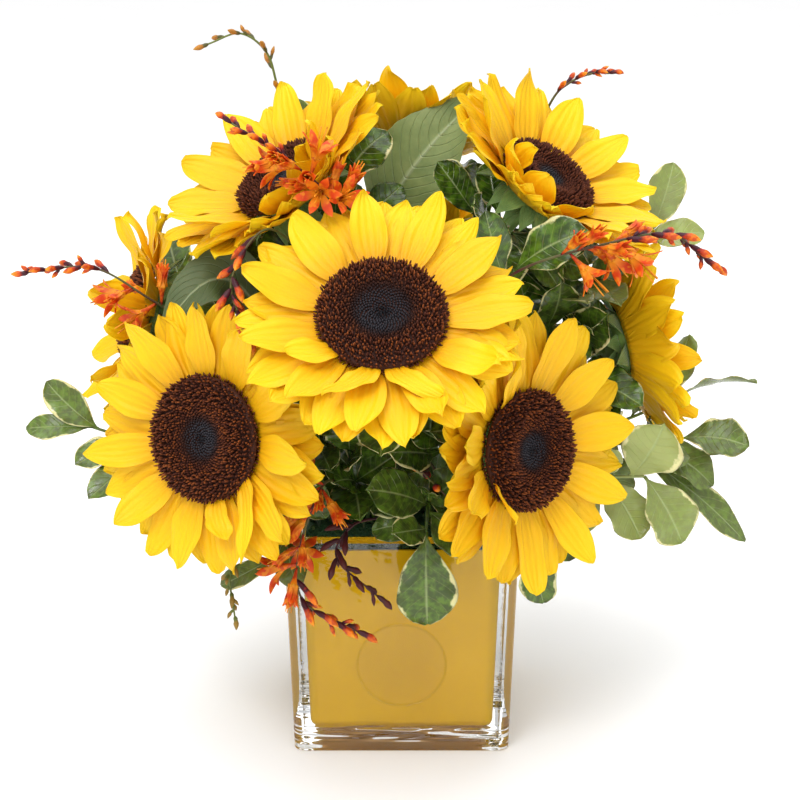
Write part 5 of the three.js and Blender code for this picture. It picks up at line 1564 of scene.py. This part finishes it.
class BOUQUET_OT_big_leaves(bpy.types.Operator):
    """Large grey-green leaves with their stalks"""

    bl_idname = "bouquet.big_leaves"
    bl_label = "Large leaves"

    def execute(self, context):
        for number, plan in enumerate(BIG_LEAVES):
            draw = seeded(BIG_LEAF_SEED + number)
            solid, stalk = stem_of(dict(plan, via=[*plan["via"], plan["base"]]), TWIG_DEPTH)
            tries = [self.spine(plan, bend) for bend in LEAF_BENDS]
            spine = solid.best(tries, lambda one: self.marks(plan, one), LEAF_MISS) or tries[0]
            skin = Skin()
            skin.add(rod(stalk, LEAF_STALK_RADIUS, 0.75, 24, 8), along=0.5, across=0.5)
            self.leaf(skin, plan, spine, draw)
            dress(skin.build(plan["name"]), "leaf_grey_green", "grey_green_leaves", plan["name"])
        return {"FINISHED"}

    def spine(self, plan, bend):
        base, face = np.array(plan["base"], float), unit(plan["face"])
        ends = []
        for end in ("bow", "tip"):
            arm = np.subtract(plan[end], base)
            arm = turned(arm, unit(np.cross(arm, face)), bend[0])
            ends.append(turned(arm, face, bend[1]))
        return ends

    def frames(self, plan, spine, share):
        bow, tip = spine
        share = np.asarray(share, float)[..., None]
        centre = np.array(plan["base"], float) + 2 * share * (1 - share) * bow + share ** 2 * tip
        along = unit(2 * (1 - share) * bow + 2 * share * (tip - bow))
        side = unit(np.cross(along, unit(plan["face"])))
        return centre, side, np.cross(side, along)

    def marks(self, plan, spine):
        centre, _, up = self.frames(plan, spine, np.array([0.25, 0.52, 0.82, 1]))
        return centre + up * np.array([0.5, 0.5, 0.5, 0])[:, None] * BIG_LEAF_THICK

    def leaf(self, skin, plan, spine, draw):
        phase = draw() * math.tau

        def surface(along, across, height):
            centre, side, up = self.frames(plan, spine, held(along))
            half = plan["width"] / 2 * curve(BIG_LEAF_WIDTH, held(along))
            half = half * (1 + 0.012 * np.sin(along * 70))
            height = height + plan["width"] * 0.07 * np.abs(across) ** 1.3
            height = height - 0.5 * np.exp(-(across * 7) ** 2)
            ripple = np.sin(along * 15 + phase + np.sign(across) * 1.3)
            height = height + plan["width"] * 0.035 * ripple * across ** 2 * np.minimum(1, half / 6)
            rib = np.cos((along - 0.22 * np.abs(across)) * 12 * math.tau) * 0.18 * np.minimum(1, half / 6)
            height = height + rib * (1 - across ** 2)
            return centre + (across * half)[..., None] * side + height[..., None] * up

        thick = bpy.context.scene.bouquet_sizes.leaf_thick / MM
        places = np.linspace(0, LAST_ROW, BIG_LEAF_ROWS)
        points, along, across = blade(surface, places, BIG_LEAF_COLUMNS, thick)
        # The tint carries the leaf's tone, which sets how much painted shade it gets.
        skin.add(points, along, across, tint=plan["tone"])


# ---- Sprays ----

def aim(stalk, share, turn, splay):
    """A direction that leaves the stem, turned round it in radians and splayed from it in degrees."""
    along, splay = stalk.along(share), math.radians(splay)
    level = unit(np.cross(along, (0, 0, 1)))
    rise = np.cross(level, along)
    return along * math.cos(splay) + (level * math.cos(turn) + rise * math.sin(turn)) * math.sin(splay)


# Half-open flowers added to a spray: first place, last place, how many.
MORE_FLOWERS = {"spray_upper_left": (0.62, 0.84, 9), "spray_right": (0.56, 0.74, 5),
                "spray_left": (0.58, 0.7, 3), "spray_front_left": (0.36, 0.68, 8)}

FLOWER_TRIES = 14  # for each flower that is wanted

# Sprays whose buds are near opening.
PLUMP = {"spray_front_left": 1.22, "spray_centre_left": 1.12, "spray_right": 1.12, "spray_front_dark": 1.15}


class BOUQUET_OT_sprays(bpy.types.Operator):
    """Crocosmia sprays: thin stems with buds in two ranks and open flowers, and one of dark berries"""

    bl_idname = "bouquet.sprays"
    bl_label = "Sprays"

    def execute(self, context):
        for plan in SPRAYS:
            solid, stalk = stem_of(plan, SPRAY_DEPTH)
            draw = seeded(plan["seed"])
            extra = seeded(plan["seed"] + EXTRA_SEED)
            skin = Skin()
            skin.add(rod(stalk, SPRAY_RADIUS, 0.5, 60, 7), along=0.5, tint=plan["tone"])
            self.buds(skin, plan, solid, stalk, draw, extra)
            for share, turn in plan["flowers"]:
                tries = [aim(stalk, share, math.radians(turn + more), FLOWER_SPLAY) for more in FLOWER_TURNS]
                base = stalk.on_rod(share)
                way = solid.best(tries, lambda one: self.lobe_tips(base - one * SUNK, one), FLOWER_MISS)
                if way is not None:
                    self.flower(skin, plan, base - way * SUNK, way, 1, extra)
            self.more_flowers(skin, plan, stalk, extra)
            dress(skin.build(plan["name"]), "spray_orange", "orange_spray", plan["name"])
        return {"FINISHED"}

    def buds(self, skin, plan, solid, stalk, draw, extra):
        first, last, count, length, radius = plan["buds"]
        berries = plan["name"] == "spray_berries"
        plump = PLUMP.get(plan["name"], 1.0)
        profile, longer = (BERRY_RADIUS, 1.0) if berries else (BUD_RADIUS, 1.55)
        for i in range(count):
            share = first + (last - first) * i / (count - 1)
            turn = (i % 2) * math.pi + math.radians(40 * draw() - 20)
            size = length * (1.15 - 0.4 * i / count)
            base = stalk.on_rod(share)
            splays = LAST_BUD_SPLAYS if i == count - 1 else BUD_SPLAYS
            tries = [aim(stalk, share, turn, splay) for splay in splays]
            way = solid.best(tries, lambda one: base + one * (size - SUNK), BUD_MISS)
            if way is not None:
                tip = base + way * size * longer * plump
                self.bud(skin, plan, stalk.on_line(share), tip, radius * plump, profile, extra)
            if i < count - 1 and extra() < 0.5:
                share = first + (last - first) * (i + 0.5) / (count - 1)
                way = aim(stalk, share, turn + math.pi / 2, 28 + 20 * extra())
                start = stalk.on_line(share)
                tip = start + way * size * longer * (0.55 + 0.3 * extra())
                self.bud(skin, plan, start, tip, radius * 0.7, profile, extra)

    def bud(self, skin, plan, start, tip, radius, profile, extra):
        """A bud in its calyx, a little bent."""
        steps = np.linspace(0, 1, 9)
        sag = np.array([extra() - 0.5, extra() - 0.5, extra() - 0.3]) * 1.2
        line = start + steps[:, None] * (tip - start) + (4 * steps * (1 - steps))[:, None] * sag
        points = tube(line, radius * 1.12 * curve(profile, steps), 7)
        skin.add(points, along=np.concatenate([[0], steps, [1]]), tint=plan["tone"], kind=1.0)

    def lobe(self, angle, more):
        return dict(angle=angle, start=2.2, rise=0, length=FLOWER_LOBE_LENGTH * more, width=5.6, cup=52,
                    curl=-30, sweep=0)

    def lobe_tips(self, base, way):
        axes = Axes(base + way * FLOWER_TUBE, way)
        r, z, _ = course(self.lobe(0, 1), 1)
        return axes.at(round_turn(SOLID_LOBES), r, z)

    def more_flowers(self, skin, plan, stalk, extra):
        """Half-open flowers between the others, wherever they are clear."""
        first, last, wanted = MORE_FLOWERS.get(plan["name"], (0, 0, 0))
        kept = 0
        for _ in range(wanted * FLOWER_TRIES):
            share, size = first + (last - first) * extra(), 0.6 + 0.38 * extra()
            way = aim(stalk, share, math.tau * extra(), 30 + 40 * extra())
            way = unit(way + (0, 0, -0.35 * extra()))
            base = stalk.on_line(share)
            marks = base + np.array([0.5, 0.75, 1])[:, None] * way * size * (FLOWER_TUBE + FLOWER_LOBE_LENGTH * 0.9)
            if kept < wanted and standing().takes(marks, FLOWER_GAP):
                self.flower(skin, plan, base, way, size, extra)
                kept += 1

    def flower(self, skin, plan, base, way, size, extra):
        """A flower: a slim tube that flares into six narrow lobes, with three stamens, the first of them drawn twice.
        """
        blown = Skin()
        axes = Axes(base + way * FLOWER_TUBE, way)
        closing = 30 + 14 * extra() if size < 1 else 0
        turn = round_turn(TUBE_SIDES)
        section = [(0.5, -FLOWER_TUBE + 0.4), (0.8, -8.5), (1.0, -6), (1.5, -3), (2.3, -0.8), (2.7, 0.2),
                   (2.3, 0.3), (1.7, -1.2), (1.0, -3)]
        rings = [axes.at(turn, r, z) for r, z in section]
        foot, deep = axes.pole(TUBE_SIDES, -FLOWER_TUBE), axes.pole(TUBE_SIDES, -4)
        shade = [0.34, 0.36, 0.5, 0.6, 0.75, 0.9, 1, 1, 1, 1, 1]
        blown.add([foot, *rings, deep], along=np.array(shade), tint=plan["tone"], kind=1.0)
        for i in range(REAL_LOBES):
            lobe = self.lobe((i + 0.2 * extra()) / REAL_LOBES * math.tau, 0.86 + 0.14 * extra())
            lobe["width"] = 5.6 if closing else 4.8
            lobe["cup"] += 10 + closing + 20 * (extra() - 0.5)
            lobe["curl"] -= 22 * extra()

            def waves(along, across):
                return 0.35 * np.cos(np.pi * across) * (1 - along)

            surface = blade_surface(axes, lobe, LOBE_WIDTH, 0.12, waves)
            places = np.linspace(-0.05, LAST_SMALL_ROW, LOBE_ROWS)
            points, along, across = blade(surface, places, LOBE_COLUMNS, LOBE_THICK)
            blown.add(points, along, across, tint=plan["tone"], kind=2.0)
        for i in range(4):
            spread = i / 3 * math.tau
            line = np.array([axes.at(spread, 0.6 + 0.3 * s, -3 + s * 4.5) for s in range(5)])
            blown.add(tube(line, [0.22, 0.2, 0.2, 0.42, 0.34], 4), along=0.0, tint=plan["tone"], kind=2.0)
        skin.join(blown, base, size)


# ---- Stage ----

# Name, place, size in metres and share of the key light's power of each lamp, which is aimed at LIT_PLACE.
LAMPS = (
    ("key", (-0.9, -1.5, 1.9), 1.1, 1.0),
    ("front", (0.5, -1.7, 0.8), 1.2, 0.5),
    ("glint", (-0.5, -1.1, 1.5), 0.22, 0.16),
    ("back", (0.5, 1.6, 1.6), 1.8, 0.9),
    ("top", (0.1, 0.2, 2.2), 1.8, 1.2),
)
LIT_PLACE = (0, 0, 0.2)
SUN_TILT = (26, -14, 0)
SUN_SPREAD = math.radians(50)
CAMERA_TARGET = (-0.0008, 0, 0.1755)
SENSOR = 36
FLOOR_SIZE = 60
FLOOR_DROP = 0.0005


class BOUQUET_OT_stage(bpy.types.Operator):
    """Pale floor, soft studio light and the camera"""

    bl_idname = "bouquet.stage"
    bl_label = "Stage"

    def execute(self, context):
        bpy.ops.object.select_all(action="DESELECT")
        bpy.ops.mesh.primitive_plane_add(size=FLOOR_SIZE, location=(0, 0, -FLOOR_DROP))
        floor = bpy.context.object
        floor.name = "floor"
        floor.data.materials.append(finish_of("floor_pale"))
        floor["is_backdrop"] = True
        stage = bpy.context.scene.bouquet_stage
        world = bpy.data.worlds.new("studio")
        world.use_nodes = True
        sky = world.node_tree.nodes["Background"]
        sky.inputs["Color"].default_value = (1, 1, 1, 1)
        sky.inputs["Strength"].default_value = stage.fill_strength
        bpy.context.scene.world = world
        bpy.context.scene.view_settings.view_transform = "Standard"
        bpy.ops.object.light_add(type="SUN", rotation=np.radians(SUN_TILT))
        broad = bpy.context.object
        broad.name = "broad"
        broad.data.energy = stage.sun_strength
        broad.data.angle = SUN_SPREAD
        for name, place, size, power in LAMPS:
            self.lamp(name, place, size, stage.key_power * power)
        self.camera(stage)
        return {"FINISHED"}

    def lamp(self, name, place, size, power):
        bpy.ops.object.light_add(type="AREA", location=place)
        lamp = bpy.context.object
        lamp.name = name
        lamp.data.size = size
        lamp.data.energy = power
        x, y, z = np.subtract(LIT_PLACE, place)
        lamp.rotation_euler = (math.atan2(math.hypot(x, y), -z), 0, math.atan2(-x, y))

    def camera(self, stage):
        pitch = stage.pitch
        place = CAMERA_TARGET + stage.distance * np.array([0, -math.cos(pitch), math.sin(pitch)])
        bpy.ops.object.camera_add(location=place, rotation=(math.pi / 2 - pitch, 0, 0))
        camera = bpy.context.object
        camera.name = "camera"
        camera.data.lens = stage.lens
        camera.data.sensor_width = SENSOR
        bpy.context.scene.camera = camera


# ---- Settings, panel and run ----

def colour(name, description, value):
    return FloatVectorProperty(name=name, description=description, subtype="COLOR", size=3, default=value,
                               min=0, max=1)


def amount(name, description, default, least, most, kind=FloatProperty, **more):
    return kind(name=name, description=description, default=default, min=least, max=most, **more)


def length(*values):
    return amount(*values, unit="LENGTH")


def number(*values):
    return amount(*values, kind=IntProperty)


class BouquetSizes(bpy.types.PropertyGroup):
    """Fine sizes of the bouquet that the solids leave to its looks"""

    glass_edge: length("Glass edge", "Rounding of the glass's edges", 0.0014, 0.0003, 0.003)
    petal_thick: length("Petal thickness", "Thickness at a petal's rib", 0.0005, 0.0002, 0.002)
    petal_pleat: length("Petal pleat", "Depth of the lengthwise pleats", 0.00055, 0, 0.002)
    petal_ripple: length("Petal ripple", "Height of the waves along a petal's edge", 0.0011, 0, 0.004)
    leaf_thick: length("Leaf thickness", "Thickness at a leaf's rib", 0.0006, 0.0002, 0.002)
    florets: number("Florets", "Florets in a disc of 60 mm", 1650, 100, 2500)
    stem_hairs: number("Stem hairs", "Hairs on each bloom's stem", 240, 0, 2000)
    inner_tries: number("Tries for an inner leaf", "Places tried on each bloom's stem", 70, 0, 500)
    leaf_extras: number("Added leaves", "Most small leaves added to a leafy stem", 7, 0, 30)
    leaf_tries: number("Tries for a leaf", "Places tried for the added leaves", 60, 0, 500)
    moss_blades: number("Filler blades", "Blades of dark filler over the foam", 520, 0, 3000)


class BouquetColours(bpy.types.PropertyGroup):
    """Colours of the bouquet"""

    # Partly the petals' own gold, partly painted shade near the disc.
    petal_root_and_shade: colour("Petal root", "Golden root of the petals", (0.78, 0.32, 0.002))
    petal_middle: colour("Petal middle", "Yellow of the petals' middle", (0.90, 0.52, 0.003))
    petal_tip: colour("Petal tip", "Lemon of the petals' tips", (0.92, 0.63, 0.008))
    disc_brown: colour("Disc brown", "Tips of the dark florets", (0.085, 0.018, 0.006))
    disc_tip: colour("Disc rim", "Orange-brown tips of the open florets", (0.30, 0.075, 0.012))
    disc_heart: colour("Disc heart", "Grey bloom on the closed florets", (0.040, 0.037, 0.045))
    stem_light: colour("Stem light", "Pale green of the stems", (0.20, 0.33, 0.07))
    stem_dark: colour("Stem dark", "Flecks on the stems", (0.09, 0.18, 0.03))
    leaf_dark: colour("Leaf green", "Dark green of the variegated leaves", (0.022, 0.052, 0.005))
    leaf_mid: colour("Leaf flames", "Lighter flames in them", (0.075, 0.16, 0.009))
    leaf_pale: colour("Leaf pale", "Pale leaves and veins", (0.37, 0.42, 0.13))
    leaf_cream: colour("Leaf cream", "Cream margin", (0.66, 0.63, 0.30))
    # Painted shade for the large leaves that stand in the bouquet's shade.
    big_leaf_painted_shade: colour("Large leaf shade", "Deep green of a shaded large leaf", (0.035, 0.062, 0.014))
    big_leaf_dark: colour("Large leaf dark", "Shade of the grey-green leaves", (0.13, 0.19, 0.05))
    big_leaf_light: colour("Large leaf light", "Light of the grey-green leaves", (0.25, 0.31, 0.1))
    bud_base: colour("Bud base", "Red of the buds", (0.40, 0.018, 0.006))
    bud_tip: colour("Bud tip", "Orange of the buds", (0.80, 0.19, 0.004))
    bud_end: colour("Bud end", "Amber of the buds' ends", (0.82, 0.33, 0.012))
    lobe_red: colour("Lobe red", "Orange-red of the open flowers", (0.60, 0.045, 0.003))
    lobe_edge: colour("Lobe edge", "Their lighter ends", (0.80, 0.12, 0.004))
    glass_tint: colour("Glass tint", "Tint of the glass", (0.965, 0.97, 0.965))
    # Painted shade: the grey tint of the glass's upright corners, not a colour of the glass.
    glass_edge: colour("Glass edge", "Grey of its thick upright edges", (0.66, 0.68, 0.69))
    gold: colour("Gold", "Gold of the lining", (0.92, 0.56, 0.01))
    gold_deep: colour("Deep gold", "Clouds in the gold", (0.86, 0.50, 0.006))
    # Painted light on the lining's underside, seen in the vase's foot.
    amber_painted_light: colour("Amber", "Underside of the lining, seen in the vase's foot", (1.0, 0.5, 0.001))


class BouquetStage(bpy.types.PropertyGroup):
    """Light and camera"""

    fill_strength: amount("Fill", "Strength of the even light all round", 0.72, 0, 5)
    sun_strength: amount("Sun", "Strength of the broad light from above the front", 1.2, 0, 20)
    key_power: amount("Key light", "Power of the key light", 11.5, 0, 500, unit="POWER")
    pitch: FloatProperty(name="Camera pitch", description="How far the camera looks down",
                         default=math.radians(17), subtype="ANGLE")
    distance: length("Camera distance", "From the camera to the bouquet's middle", 0.95, 0.1, 10)
    lens: amount("Lens", "Focal length", 81, 10, 300, unit="CAMERA")


OPERATORS = (
    BOUQUET_OT_stage, BOUQUET_OT_vase, BOUQUET_OT_liner, BOUQUET_OT_seal, BOUQUET_OT_foam, BOUQUET_OT_greens,
    BOUQUET_OT_discs, BOUQUET_OT_petals, BOUQUET_OT_big_leaves, BOUQUET_OT_leafy, BOUQUET_OT_inner_leaves,
    BOUQUET_OT_sprays,
)


class BOUQUET_PT_panel(bpy.types.Panel):
    """Lists the bouquet's pieces and settings"""

    bl_idname = "BOUQUET_PT_panel"
    bl_label = "Sunflower bouquet"
    bl_space_type = "VIEW_3D"
    bl_region_type = "UI"
    bl_category = "Bouquet"

    def draw(self, context):
        for operator in OPERATORS:
            self.layout.operator(operator.bl_idname)
        for settings in (context.scene.bouquet_sizes, context.scene.bouquet_colours, context.scene.bouquet_stage):
            column = self.layout.column()
            for name in settings.__annotations__:
                column.prop(settings, name)


SETTINGS = {"bouquet_sizes": BouquetSizes, "bouquet_colours": BouquetColours, "bouquet_stage": BouquetStage}


def register():
    for group in SETTINGS.values():
        bpy.utils.register_class(group)
    for name, group in SETTINGS.items():
        setattr(bpy.types.Scene, name, PointerProperty(type=group))
    for operator in OPERATORS:
        bpy.utils.register_class(operator)
    bpy.utils.register_class(BOUQUET_PT_panel)


def unregister():
    bpy.utils.unregister_class(BOUQUET_PT_panel)
    for operator in reversed(OPERATORS):
        bpy.utils.unregister_class(operator)
    for name, group in SETTINGS.items():
        delattr(bpy.types.Scene, name)
        bpy.utils.unregister_class(group)


def main():
    register()
    for operator in OPERATORS:
        family, name = operator.bl_idname.split(".")
        getattr(getattr(bpy.ops, family), name)()
    boxes = {"cad": CAD_BOX, "visual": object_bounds()}
    {name: [list(low), list(high)] for name, (low, high) in boxes.items()}


if __name__ == "__main__":
    main()
